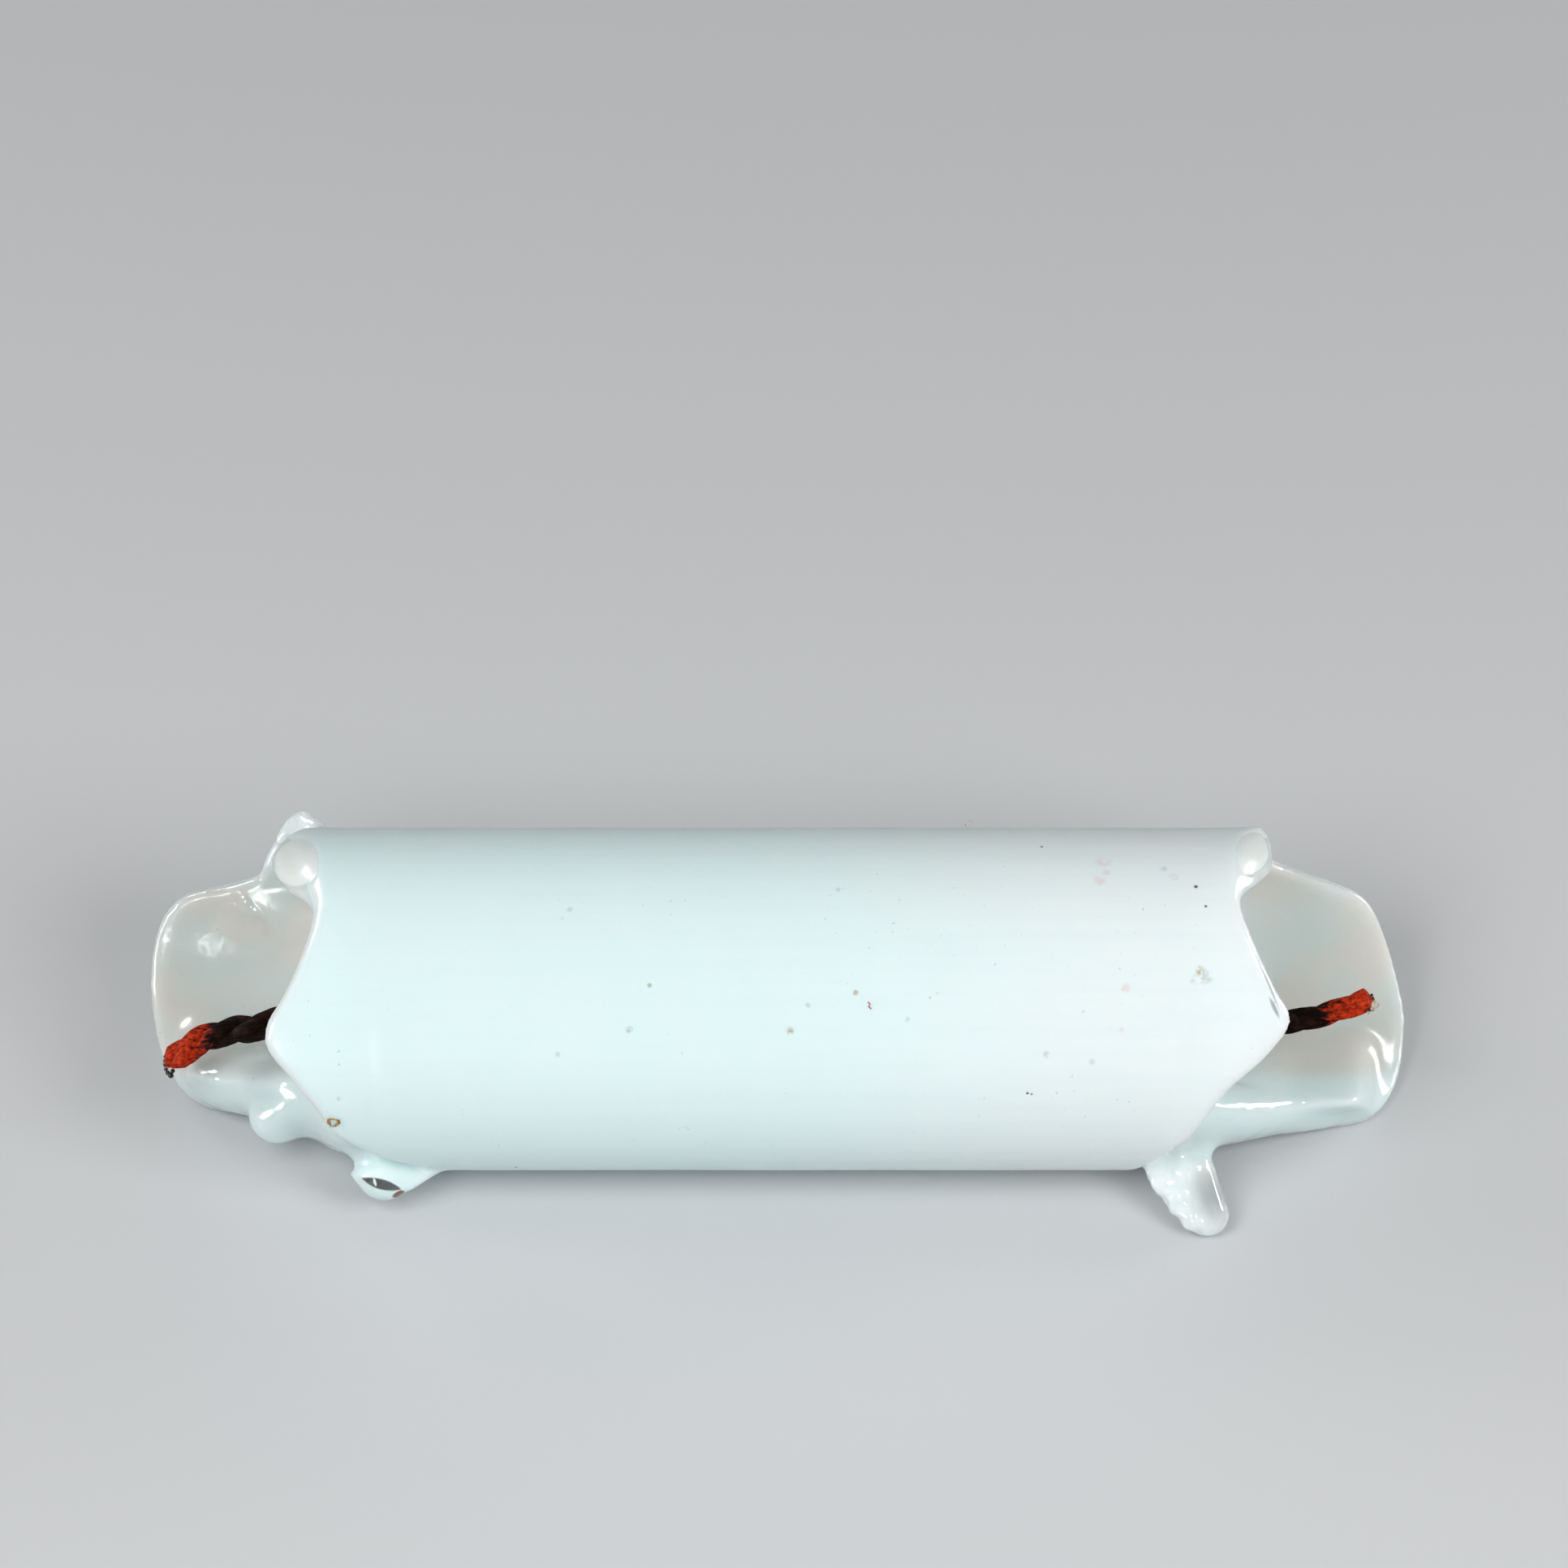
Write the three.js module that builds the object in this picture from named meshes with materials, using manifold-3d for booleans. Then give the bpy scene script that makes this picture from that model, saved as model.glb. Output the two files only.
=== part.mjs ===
// Melted candle burnt at both ends: one wax body with a wick running through it.
// Millimetres. The candle is drawn along X with its drips hanging towards -Z, then rolled onto its rest.
// A turn is an angle in degrees round the X axis, from the top (0) by the front (90, towards -Y),
// the underside (180) and the back (270).
import * as THREE from "three";
import { mergeVertices } from "three/addons/utils/BufferGeometryUtils.js";
import Module from "manifold-3d";

const wasm = await Module();
wasm.setup();

// Driving sizes of the candle
const candleDiameter = 22;
const floorSpacing = 54;
const restFlatDepth = 0.05;

// Form of a lip: how sharply its face meets the side, how far its nose lies inward of the wall's
// middle as a share of the wall, and how far a flare reaches back along the side
const lipEdgePower = 1.45;
const lipNoseShare = 0.22;
const flareFade = 1.3;

// Form of a crater's bowl: how deep its side runs along the wall, how far out it then spreads over
// the floor, and how far below the lowest lip the straight side of the candle begins
const bowlDepthShare = 0.6;
const bowlSpreadShare = 0.7;
const shoulderSetback = 2;

// Driving sizes of the wick and of the bore that holds it
const wickDiameter = 1.5;
const strandCount = 3;
const strandLobe = 0.1;
const strandPitch = 7;
const boreClearance = 0.3;
const collarHeight = 0.7;
const collarWidth = 1.1;
const leftWickDiameter = 1.9;
const rightWickDiameter = 1.55;
const wickSwellLength = 2.5;

// Driving sizes of the drips: reach is a place past the crater floor, lift a height above the candle's
// underside and hang a depth below it
const upperDropRadius = 2.0;
const upperDropReach = 5.2;
const upperDropLift = 3.5;
const upperDropBack = 1.4;
const upperBulgeRadius = 1.5;
const upperBulgeReach = 4.3;
const upperBulgeLift = 4.1;
const lowerDropRadius = 1.9;
const lowerDropReach = -1.7;
const lowerDropHang = 2.0;
const lowerWebThickness = 2.2;
const fingerRadius = 1.42;
const fingerNeckRadius = 1.2;
const fingerReach = 0.6;
const fingerHang = 4.3;
const finThickness = 1.3;

// Fineness of the curved surfaces
const rimSteps = 96;
const lipSteps = 6;
const bowlSteps = 8;
const wickSides = 12;
const sideShares = [1, 0.5, 0.2, 0.05];
const poolSides = 20;
const poolCapSteps = 3;
const dropSides = 18;
const dripSteps = 4;
const wickSteps = 84;
const weldTolerance = 1e-3;

// Values worked out from the driving sizes
const radius = candleDiameter / 2;
const floorX = floorSpacing / 2;
const boreRadius = (wickDiameter / 2) * (1 + strandLobe) + boreClearance;
const fullTurn = 360;

// Each rim is a closed line of stations. Reach is how far the lip stands out past the crater floor,
// wall its thickness, roll the length of its rounding and flare how far it leans out of the candle's side.
const leftRim = [
  { turn: 0, reach: 5.6, wall: 2.8, roll: 2.0, flare: 0 },
  { turn: 20, reach: 5.7, wall: 3.2, roll: 3.0, flare: 0 },
  { turn: 40, reach: 4.6, wall: 2.7, roll: 2.2, flare: 0 },
  { turn: 56, reach: 2.9, wall: 1.5, roll: 0.6, flare: 0 },
  { turn: 75, reach: 3.6, wall: 1.1, roll: 0.4, flare: 0 },
  { turn: 92, reach: 5.0, wall: 1.1, roll: 0.4, flare: 0 },
  { turn: 104, reach: 6.0, wall: 1.1, roll: 0.5, flare: 0 },
  { turn: 117, reach: 4.5, wall: 1.4, roll: 0.6, flare: 0 },
  { turn: 130, reach: 3.0, wall: 1.7, roll: 0.7, flare: 0 },
  { turn: 143, reach: 1.9, wall: 2.2, roll: 0.8, flare: 0 },
  { turn: 160, reach: -1.0, wall: 2.8, roll: 1.0, flare: 0 },
  { turn: 180, reach: -4.4, wall: 3.2, roll: 1.2, flare: 0 },
  { turn: 203, reach: 0.2, wall: 3.0, roll: 1.2, flare: 0 },
  { turn: 215, reach: 3.6, wall: 3.0, roll: 1.2, flare: 0 },
  { turn: 226, reach: 7.8, wall: 3.0, roll: 1.2, flare: 0 },
  { turn: 232, reach: 11.2, wall: 2.6, roll: 1.0, flare: 0 },
  { turn: 248, reach: 12.7, wall: 2.0, roll: 0.8, flare: 0 },
  { turn: 274, reach: 13.5, wall: 1.3, roll: 0.5, flare: 0 },
  { turn: 298, reach: 12.8, wall: 1.1, roll: 0.4, flare: 0 },
  { turn: 308, reach: 11.4, wall: 1.1, roll: 0.4, flare: 0 },
  { turn: 312.5, reach: 8.8, wall: 1.1, roll: 0.4, flare: 0 },
  { turn: 317, reach: 6.6, wall: 1.1, roll: 0.4, flare: 0.1 },
  { turn: 326, reach: 6.0, wall: 1.1, roll: 0.4, flare: 0.5 },
  { turn: 340, reach: 4.2, wall: 1.0, roll: 0.4, flare: 2.1 },
  { turn: 352, reach: 3.0, wall: 1.6, roll: 0.5, flare: 0.3 },
];
const rightRim = [
  { turn: 0, reach: 4.9, wall: 2.6, roll: 1.0, flare: 0.12 },
  { turn: 18, reach: 5.0, wall: 2.9, roll: 2.3, flare: 0 },
  { turn: 36, reach: 4.1, wall: 2.3, roll: 1.8, flare: 0 },
  { turn: 52, reach: 2.7, wall: 1.2, roll: 0.5, flare: 0 },
  { turn: 72, reach: 3.7, wall: 0.9, roll: 0.35, flare: 0 },
  { turn: 88, reach: 5.0, wall: 0.9, roll: 0.35, flare: 0 },
  { turn: 98, reach: 5.8, wall: 0.9, roll: 0.35, flare: 0 },
  { turn: 108, reach: 4.6, wall: 1.0, roll: 0.35, flare: 0 },
  { turn: 124, reach: 1.8, wall: 1.4, roll: 0.5, flare: 0 },
  { turn: 145, reach: -0.1, wall: 2.2, roll: 0.8, flare: 0 },
  { turn: 180, reach: -3.0, wall: 3.0, roll: 1.2, flare: 0 },
  { turn: 204, reach: 0.2, wall: 2.6, roll: 1.1, flare: 0 },
  { turn: 214, reach: 3.4, wall: 2.2, roll: 0.9, flare: 0 },
  { turn: 219.5, reach: 7.2, wall: 1.9, roll: 0.7, flare: 0 },
  { turn: 224, reach: 11.4, wall: 1.7, roll: 0.6, flare: 0 },
  { turn: 240, reach: 13.0, wall: 1.5, roll: 0.6, flare: 0 },
  { turn: 262, reach: 13.4, wall: 1.3, roll: 0.5, flare: 0 },
  { turn: 290, reach: 12.3, wall: 1.1, roll: 0.4, flare: 0 },
  { turn: 307, reach: 10.9, wall: 1.1, roll: 0.4, flare: 0 },
  { turn: 313.5, reach: 8.9, wall: 1.1, roll: 0.4, flare: 0 },
  { turn: 319, reach: 6.8, wall: 1.1, roll: 0.4, flare: 0 },
  { turn: 327, reach: 4.9, wall: 1.3, roll: 0.5, flare: 0 },
  { turn: 340, reach: 4.6, wall: 1.7, roll: 0.6, flare: 0 },
  { turn: 352, reach: 4.7, wall: 2.2, roll: 0.7, flare: 0 },
];

// Each pool is wax that ran to the low side of a crater and set there, as sections along the candle.
// Lift is the height of a section's underside above the candle's underside, and back its place in Y.
const leftPool = [
  { reach: -6.0, lift: 3.0, tall: 5.0, wide: 8.0, back: 0.0 },
  { reach: 0.5, lift: 1.0, tall: 6.4, wide: 12.0, back: 1.2 },
  { reach: 3.2, lift: 2.2, tall: 5.6, wide: 10.6, back: 2.8 },
  { reach: 6.4, lift: 3.2, tall: 4.7, wide: 8.4, back: 4.6 },
  { reach: 9.4, lift: 4.0, tall: 3.8, wide: 5.6, back: 6.2 },
  { reach: 11.6, lift: 5.1, tall: 2.4, wide: 2.8, back: 7.4 },
];
const rightPool = [
  { reach: -6.0, lift: 3.0, tall: 5.0, wide: 8.0, back: 0.0 },
  { reach: -1.5, lift: 1.3, tall: 5.4, wide: 10.0, back: 0.6 },
  { reach: 2.0, lift: 1.6, tall: 4.2, wide: 9.0, back: 2.6 },
  { reach: 5.0, lift: 2.2, tall: 3.2, wide: 6.6, back: 4.6 },
  { reach: 8.2, lift: 2.6, tall: 2.4, wide: 4.0, back: 6.4 },
  { reach: 10.6, lift: 3.1, tall: 1.6, wide: 2.2, back: 7.4 },
];

// How bluntly a pool's ends are rounded, and the smallest share of its section that is left there
const poolEndPower = 8;
const poolEndShare = 0.06;

// Outlines of the two webs of wax, as reach past the crater floor and height over the underside
const lowerWeb = [
  [-5.6, 0.6],
  [-1.0, 1.4],
  [-0.4, -0.6],
  [-1.8, -1.7],
  [-3.4, -1.3],
  [-5.6, 0.1],
];
const fin = [
  [-3.5, 1.0],
  [-3.4, -0.2],
  [-2.7, -1.4],
  [-2.1, -1.9],
  [-1.7, -2.9],
  [-1.1, -3.2],
  [-1.0, -3.7],
  [0.4, -4.05],
  [1.0, -2.6],
  [-0.2, 2.0],
];

// Middle of the finger drip above its tip, as reach past the crater floor, lift and radius
const fingerRoot = [
  { reach: -0.9, lift: 3.2, size: fingerNeckRadius },
  { reach: -0.5, lift: 1.2, size: fingerNeckRadius },
  { reach: 0.15, lift: (fingerRadius - fingerHang) / 2, size: fingerRadius },
];

// Centreline of the wick outside the wax, as reach past the crater floor, Y and Z, up to its tip.
const leftWickLine = [
  [2.0, 0.0, -0.1],
  [5.6, -0.1, -1.6],
  [8.8, -0.2, -2.2],
  [10.6, -0.3, -3.0],
  [12.1, -0.4, -4.2],
];
const rightWickLine = [
  [2.0, 0.0, -0.15],
  [5.5, 0.0, -1.4],
  [8.1, 0.1, -1.0],
  [10.2, 0.2, -0.3],
  [11.3, 0.2, 0.05],
];

// Underside of the candle, and the roll that brings it and the tip of the finger drip to one level
const underside = -radius;
const fingerCentreZ = underside - fingerHang + fingerRadius;
const restAngle = Math.acos((radius - fingerRadius) / -fingerCentreZ);

function around(x, turn, distance) {
  const angle = THREE.MathUtils.degToRad(turn);
  return new THREE.Vector3(x, -Math.sin(angle) * distance, Math.cos(angle) * distance);
}

function turnOf(point, guess) {
  const turn = THREE.MathUtils.radToDeg(Math.atan2(-point.y, point.z));
  return turn + fullTurn * Math.round((guess - turn) / fullTurn);
}

// A surface whose faces look inward measures a negative volume, and is turned inside out.
function faceOutward(points, faces) {
  let volume = 0;
  for (let i = 0; i < faces.length; i += 3) {
    const [a, b, c] = faces.slice(i, i + 3).map((index) => points[index]);
    volume += a.dot(new THREE.Vector3().crossVectors(b, c));
  }
  return volume < 0 ? faces.reverse() : faces;
}

// Grid of rings, each with as many points, joined into a surface. A ring list that closes joins
// the last ring to the first; an open one is capped at both ends by a fan round the ring's middle.
function skin(rings, closes) {
  const count = rings[0].length;
  const points = rings.flat();
  const faces = [];
  const last = closes ? rings.length : rings.length - 1;
  for (let i = 0; i < last; i += 1) {
    const here = i * count;
    const next = ((i + 1) % rings.length) * count;
    for (let j = 0; j < count; j += 1) {
      const k = (j + 1) % count;
      faces.push(here + j, next + j, next + k, here + j, next + k, here + k);
    }
  }
  if (!closes) {
    const caps = [
      [0, 1],
      [rings.length - 1, -1],
    ];
    for (const [ring, way] of caps) {
      const middle = rings[ring].reduce((sum, p) => sum.add(p), new THREE.Vector3());
      points.push(middle.divideScalar(count));
      for (let j = 0; j < count; j += 1) {
        const a = ring * count + j;
        const b = ring * count + ((j + 1) % count);
        faces.push(points.length - 1, way > 0 ? a : b, way > 0 ? b : a);
      }
    }
  }
  const geometry = new THREE.BufferGeometry().setFromPoints(points);
  geometry.setIndex(faceOutward(points, faces));
  return geometry;
}

function toSolid(geometry) {
  const bare = geometry.clone();
  bare.deleteAttribute("normal");
  bare.deleteAttribute("uv");
  const welded = mergeVertices(bare, weldTolerance);
  const vertProperties = new Float32Array(welded.attributes.position.array);
  const triVerts = new Uint32Array(welded.index.array);
  return new wasm.Manifold(new wasm.Mesh({ numProp: 3, vertProperties, triVerts }));
}

function toGeometry(solid) {
  const { vertProperties, triVerts } = solid.getMesh();
  const geometry = new THREE.BufferGeometry();
  geometry.setAttribute("position", new THREE.BufferAttribute(vertProperties, 3));
  geometry.setIndex(new THREE.BufferAttribute(triVerts, 1));
  geometry.computeVertexNormals();
  return geometry;
}

// Samples of a rim: the middle of the wall where its rounding starts, the direction out of the wall's
// edge, the wall and roll there, and the turn on the candle.
function rimSamples(rim, side) {
  const places = rim.map((s) => {
    const distance = radius - s.wall / 2 + s.flare;
    return around(side * (floorX + s.reach - s.roll), s.turn, distance);
  });
  const line = new THREE.CatmullRomCurve3(places, true);
  const sizes = rim.map((s) => new THREE.Vector3(s.wall, s.roll, s.flare));
  const sizeLine = new THREE.CatmullRomCurve3(sizes, true, "catmullrom");
  const samples = [];
  for (let j = 0; j < rimSteps; j += 1) {
    const along = j / rimSteps;
    const [wall, roll, flare] = sizeLine.getPoint(along).toArray();
    const place = line.getPoint(along);
    const turn = turnOf(place, along * fullTurn);
    const outward = around(0, turn, 1);
    const middle = around(place.x, turn, radius - wall / 2 + flare);
    const edge = line.getTangent(along).cross(outward).normalize().multiplyScalar(-side);
    samples.push({ middle, outward, edge, wall, roll, flare, turn });
  }
  return samples;
}

const samples = { left: rimSamples(leftRim, -1), right: rimSamples(rightRim, 1) };
const middleTurns = samples.left.map((s, j) => (s.turn + samples.right[j].turn) / 2);

// Rings of one end, from the straight side of the candle over the lip and down the bowl to the wick.
function endRings(rim, rimSamplesHere, side) {
  const shrink = Math.min(...rim.map((s) => s.reach - s.roll));
  const shoulderX = side * (floorX + shrink - shoulderSetback);
  const rings = [];
  for (const share of sideShares) {
    rings.push(
      rimSamplesHere.map((s, j) => {
        const x = THREE.MathUtils.lerp(s.middle.x, shoulderX, share);
        const turn = THREE.MathUtils.lerp(s.turn, middleTurns[j], share);
        const left = Math.max(1 - Math.abs(x - s.middle.x) / flareFade, 0);
        return around(x, turn, radius + s.flare * left ** 2);
      }),
    );
  }
  for (let k = 0; k <= lipSteps; k += 1) {
    const angle = (Math.PI * k) / lipSteps;
    const out = Math.sin(angle) ** lipEdgePower;
    const along = Math.abs(Math.cos(angle)) ** lipEdgePower;
    const height = 2 * k <= lipSteps ? (0.5 + lipNoseShare) * along : (lipNoseShare - 0.5) * along;
    rings.push(
      rimSamplesHere.map((s) => {
        const spot = s.middle.clone().addScaledVector(s.edge, s.roll * out);
        return spot.addScaledVector(s.outward, s.wall * (height - lipNoseShare));
      }),
    );
  }
  const collarRadius = boreRadius + collarWidth;
  for (let k = 1; k <= bowlSteps; k += 1) {
    const share = k / bowlSteps;
    rings.push(
      rimSamplesHere.map((s, j) => {
        const inside = radius - s.wall + s.flare;
        const bowl = new THREE.CubicBezierCurve(
          new THREE.Vector2(s.middle.x, inside),
          new THREE.Vector2(THREE.MathUtils.lerp(s.middle.x, side * floorX, bowlDepthShare), inside),
          new THREE.Vector2(side * floorX, THREE.MathUtils.lerp(collarRadius, inside, bowlSpreadShare)),
          new THREE.Vector2(side * floorX, collarRadius),
        );
        const spot = bowl.getPoint(share);
        return around(spot.x, THREE.MathUtils.lerp(s.turn, middleTurns[j], share), spot.y);
      }),
    );
  }
  rings.push(middleTurns.map((turn) => around(side * (floorX + collarHeight), turn, boreRadius)));
  return rings;
}

// Rounded mass through oval sections; it closes with a few shrinking sections at each end.
function poolSolid(pool, side) {
  const sections = pool.map((s) => {
    const height = underside + s.lift + s.tall / 2;
    return { x: side * (floorX + s.reach), y: s.back, z: height, tall: s.tall, wide: s.wide };
  });
  const line = new THREE.CatmullRomCurve3(sections.map((s) => new THREE.Vector3(s.x, s.y, s.z)));
  const sizeLine = new THREE.CatmullRomCurve3(sections.map((s) => new THREE.Vector3(s.tall, s.wide, 0)));
  const steps = sections.length * poolCapSteps;
  const rings = [];
  for (let i = 0; i <= steps; i += 1) {
    const along = i / steps;
    const place = line.getPoint(along);
    const [tall, wide] = sizeLine.getPoint(along).toArray();
    const fade = Math.sqrt(Math.max(1 - (2 * along - 1) ** poolEndPower, poolEndShare));
    const ring = [];
    for (let j = 0; j < poolSides; j += 1) {
      const angle = (2 * Math.PI * j) / poolSides;
      const y = place.y + (side * Math.cos(angle) * fade * wide) / 2;
      ring.push(new THREE.Vector3(place.x, y, place.z + (Math.sin(angle) * fade * tall) / 2));
    }
    rings.push(ring);
  }
  return toSolid(skin(rings, false));
}

// Hanging drip with a round section, from a list of places and radii along its middle.
function dripSolid(stops) {
  const places = stops.map((s) => new THREE.Vector3(floorX + s.reach, 0, underside + s.lift));
  const line = new THREE.CatmullRomCurve3(places);
  const sizeLine = new THREE.CatmullRomCurve3(stops.map((s) => new THREE.Vector3(s.size, s.reach, s.lift)));
  const steps = dripSteps * (stops.length - 1);
  const rings = [];
  for (let i = 0; i <= steps; i += 1) {
    const place = line.getPoint(i / steps);
    const size = sizeLine.getPoint(i / steps).x;
    const ring = [];
    for (let j = 0; j < dropSides; j += 1) {
      const angle = (2 * Math.PI * j) / dropSides;
      const y = place.y + Math.sin(angle) * size;
      ring.push(new THREE.Vector3(place.x + Math.cos(angle) * size, y, place.z));
    }
    rings.push(ring);
  }
  return toSolid(skin(rings, false));
}

function ballSolid(x, y, z, size) {
  const ball = new THREE.SphereGeometry(size, dropSides, dropSides / 2);
  return toSolid(ball.translate(x, y, z));
}

// Flat web of wax in the XZ plane.
function webSolid(outline, side, thickness) {
  const corners = outline.map(([reach, lift]) => {
    return new THREE.Vector2(side * (floorX + reach), underside + lift);
  });
  const shape = new THREE.Shape(corners);
  const web = new THREE.ExtrudeGeometry(shape, { depth: thickness, bevelEnabled: false });
  web.translate(0, 0, -thickness / 2);
  return toSolid(web.rotateX(Math.PI / 2));
}

// Block under the rest plane, which planes off the thin strip that the candle lies on.
function floorSolid() {
  const block = new THREE.BoxGeometry(floorSpacing * 2, candleDiameter * 2, radius);
  block.translate(0, 0, underside + restFlatDepth - radius / 2);
  return toSolid(block.rotateX(restAngle));
}

function waxBody() {
  const left = endRings(leftRim, samples.left, -1).reverse();
  const right = endRings(rightRim, samples.right, 1);
  const upperDropX = -floorX - upperDropReach;
  const lowerDropX = -floorX - lowerDropReach;
  const fingerX = floorX + fingerReach;
  const fingerTip = { reach: fingerReach, lift: fingerRadius - fingerHang, size: fingerRadius };
  const parts = [
    poolSolid(leftPool, -1),
    poolSolid(rightPool, 1),
    ballSolid(upperDropX, upperDropBack, underside + upperDropLift, upperDropRadius),
    ballSolid(-floorX - upperBulgeReach, 0, underside + upperBulgeLift, upperBulgeRadius),
    ballSolid(lowerDropX, 0, underside - lowerDropHang + lowerDropRadius, lowerDropRadius),
    webSolid(lowerWeb, -1, lowerWebThickness),
    dripSolid([...fingerRoot, fingerTip]),
    ballSolid(fingerX, 0, fingerCentreZ, fingerRadius),
    webSolid(fin, 1, finThickness),
  ];
  const whole = parts.reduce((sum, part) => sum.add(part), toSolid(skin([...left, ...right], true)));
  return whole.subtract(floorSolid());
}

function wickGeometry() {
  const leftPart = leftWickLine.map(([reach, y, z]) => new THREE.Vector3(-floorX - reach, y, z)).reverse();
  const rightPart = rightWickLine.map(([reach, y, z]) => new THREE.Vector3(floorX + reach, y, z));
  const held = [-1, -0.5, 0.5, 1].map((share) => new THREE.Vector3(share * (floorX + collarHeight), 0, 0));
  const line = new THREE.CatmullRomCurve3([...leftPart, ...held, ...rightPart]);
  const rings = [];
  for (let i = 0; i <= wickSteps; i += 1) {
    const place = line.getPoint(i / wickSteps);
    const tangent = line.getTangent(i / wickSteps);
    const past = Math.max(Math.abs(place.x) - floorX - collarHeight, 0);
    const endDiameter = place.x < 0 ? leftWickDiameter : rightWickDiameter;
    const swell = THREE.MathUtils.smoothstep(past, 0, wickSwellLength);
    const size = THREE.MathUtils.lerp(wickDiameter, endDiameter, swell) / 2;
    const across = new THREE.Vector3(0, 1, 0).cross(tangent).normalize();
    const up = tangent.clone().cross(across);
    const twist = (2 * Math.PI * place.x) / strandPitch;
    const ring = [];
    for (let j = 0; j < wickSides; j += 1) {
      const angle = (2 * Math.PI * j) / wickSides;
      const reach = size * (1 + strandLobe * Math.cos(strandCount * (angle - twist)));
      const point = place.clone().addScaledVector(across, Math.cos(angle) * reach);
      ring.push(point.addScaledVector(up, Math.sin(angle) * reach));
    }
    rings.push(ring);
  }
  return skin(rings, false);
}

function namedMesh(name, geometry, colour, roughness) {
  const material = new THREE.MeshStandardMaterial({ color: colour, roughness, metalness: 0 });
  const mesh = new THREE.Mesh(geometry, material);
  mesh.name = name;
  return mesh;
}

const candle = new THREE.Group();
candle.add(namedMesh("wax_body", toGeometry(waxBody()), 0xe4eff0, 0.4));
candle.add(namedMesh("wick", toGeometry(toSolid(wickGeometry())), 0x3a1a12, 0.9));
candle.rotation.x = -restAngle;

// The whole stands with the middle of its underside on the origin.
const group = new THREE.Group();
group.add(candle);
group.updateMatrixWorld(true);
const box = new THREE.Box3().setFromObject(group, true);
candle.position.set(-(box.min.x + box.max.x) / 2, -(box.min.y + box.max.y) / 2, -box.min.z);

export default group;
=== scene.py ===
"""Looks of a melted candle: wax, wick, dirt, floor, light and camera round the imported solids."""

import logging
import math
from collections.abc import Callable
from dataclasses import dataclass, field
from enum import Enum
from functools import reduce

import bpy
import numpy as np
from bpy.types import Material, Mesh, Node, NodeSocket as Socket, Object
from mathutils import Matrix, Vector


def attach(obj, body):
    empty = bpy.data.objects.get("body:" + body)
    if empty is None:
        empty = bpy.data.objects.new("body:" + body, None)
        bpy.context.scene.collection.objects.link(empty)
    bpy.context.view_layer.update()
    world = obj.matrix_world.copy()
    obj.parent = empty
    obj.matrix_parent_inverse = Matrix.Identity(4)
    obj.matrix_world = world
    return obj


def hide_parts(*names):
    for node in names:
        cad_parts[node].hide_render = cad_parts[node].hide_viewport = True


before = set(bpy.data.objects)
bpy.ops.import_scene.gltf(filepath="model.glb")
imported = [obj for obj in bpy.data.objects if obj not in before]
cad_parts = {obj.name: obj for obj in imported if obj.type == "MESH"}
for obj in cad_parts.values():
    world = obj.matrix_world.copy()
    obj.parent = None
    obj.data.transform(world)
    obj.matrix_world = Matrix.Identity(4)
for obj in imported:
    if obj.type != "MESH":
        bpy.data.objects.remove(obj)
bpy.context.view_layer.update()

LOG = logging.getLogger("candle")

MM = 0.001
IMAGE_PX = 1932
PX_PER_MM = 19.18
CANDLE_PX = (958.0, 1231.0)
SEED = 20

Colour = tuple[float, float, float]
Place = tuple[float, float, float]
Pixel = tuple[float, float]


class End(Enum):
    """The two burnt ends of the candle, by the sign of their place along X."""

    LEFT = -1
    RIGHT = 1


@dataclass(frozen=True)
class Pose:
    """How the candle lies in the row frame.

    The candle's own frame is in millimetres: X along it, Z the photograph's up and -Y towards the
    photograph's camera. It is rolled about X until its side and the finger drip's tip share one level.
    """

    radius: float = 11.0
    finger_radius: float = 1.42
    finger_hang: float = 4.3
    axis_y: float = -0.317
    axis_z: float = 10.95

    @property
    def roll(self) -> float:
        """Angle of the roll, in radians."""
        reach = self.radius + self.finger_hang - self.finger_radius
        return math.acos((self.radius - self.finger_radius) / reach)

    def matrix(self) -> Matrix:
        """Matrix from the candle's frame in millimetres to the row frame in metres.

        Returns:
            The 4 by 4 matrix.
        """
        place = Matrix.Translation(Vector((0.0, self.axis_y, self.axis_z)) * MM)
        return place @ Matrix.Rotation(-self.roll, 4, "X") @ Matrix.Scale(MM, 4)

    def to_candle(self, points: np.ndarray) -> np.ndarray:
        """Row-frame points in metres as points of the candle's frame in millimetres.

        Args:
            points: Array of shape (n, 3), in metres.

        Returns:
            Array of the same shape, in millimetres.
        """
        turn = np.array(self.matrix().inverted())
        return points @ turn[:3, :3].T + turn[:3, 3]

    def to_row(self, points: np.ndarray) -> np.ndarray:
        """Candle-frame points in millimetres as row-frame points in metres.

        Args:
            points: Array of shape (n, 3), in millimetres.

        Returns:
            Array of the same shape, in metres.
        """
        turn = np.array(self.matrix())
        return points @ turn[:3, :3].T + turn[:3, 3]

    def direction(self, along: Place) -> Vector:
        """Direction of the candle's frame as one of the row frame, with its length kept.

        Args:
            along: The direction in the candle's frame.

        Returns:
            The direction in the row frame.
        """
        return self.matrix().to_3x3().normalized() @ Vector(along)

    def on_side(self, pixel: Pixel) -> Vector:
        """Point of the candle's front that a pixel of the photograph shows.

        Args:
            pixel: Column and row in the photograph's own pixels.

        Returns:
            The point in the candle's frame, in millimetres.
        """
        x = (pixel[0] - CANDLE_PX[0]) / PX_PER_MM
        z = (CANDLE_PX[1] - pixel[1]) / PX_PER_MM
        depth = math.sqrt(max(self.radius**2 - z**2, 0.0))
        return Vector((x, -depth, z))


POSE = Pose()


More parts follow.
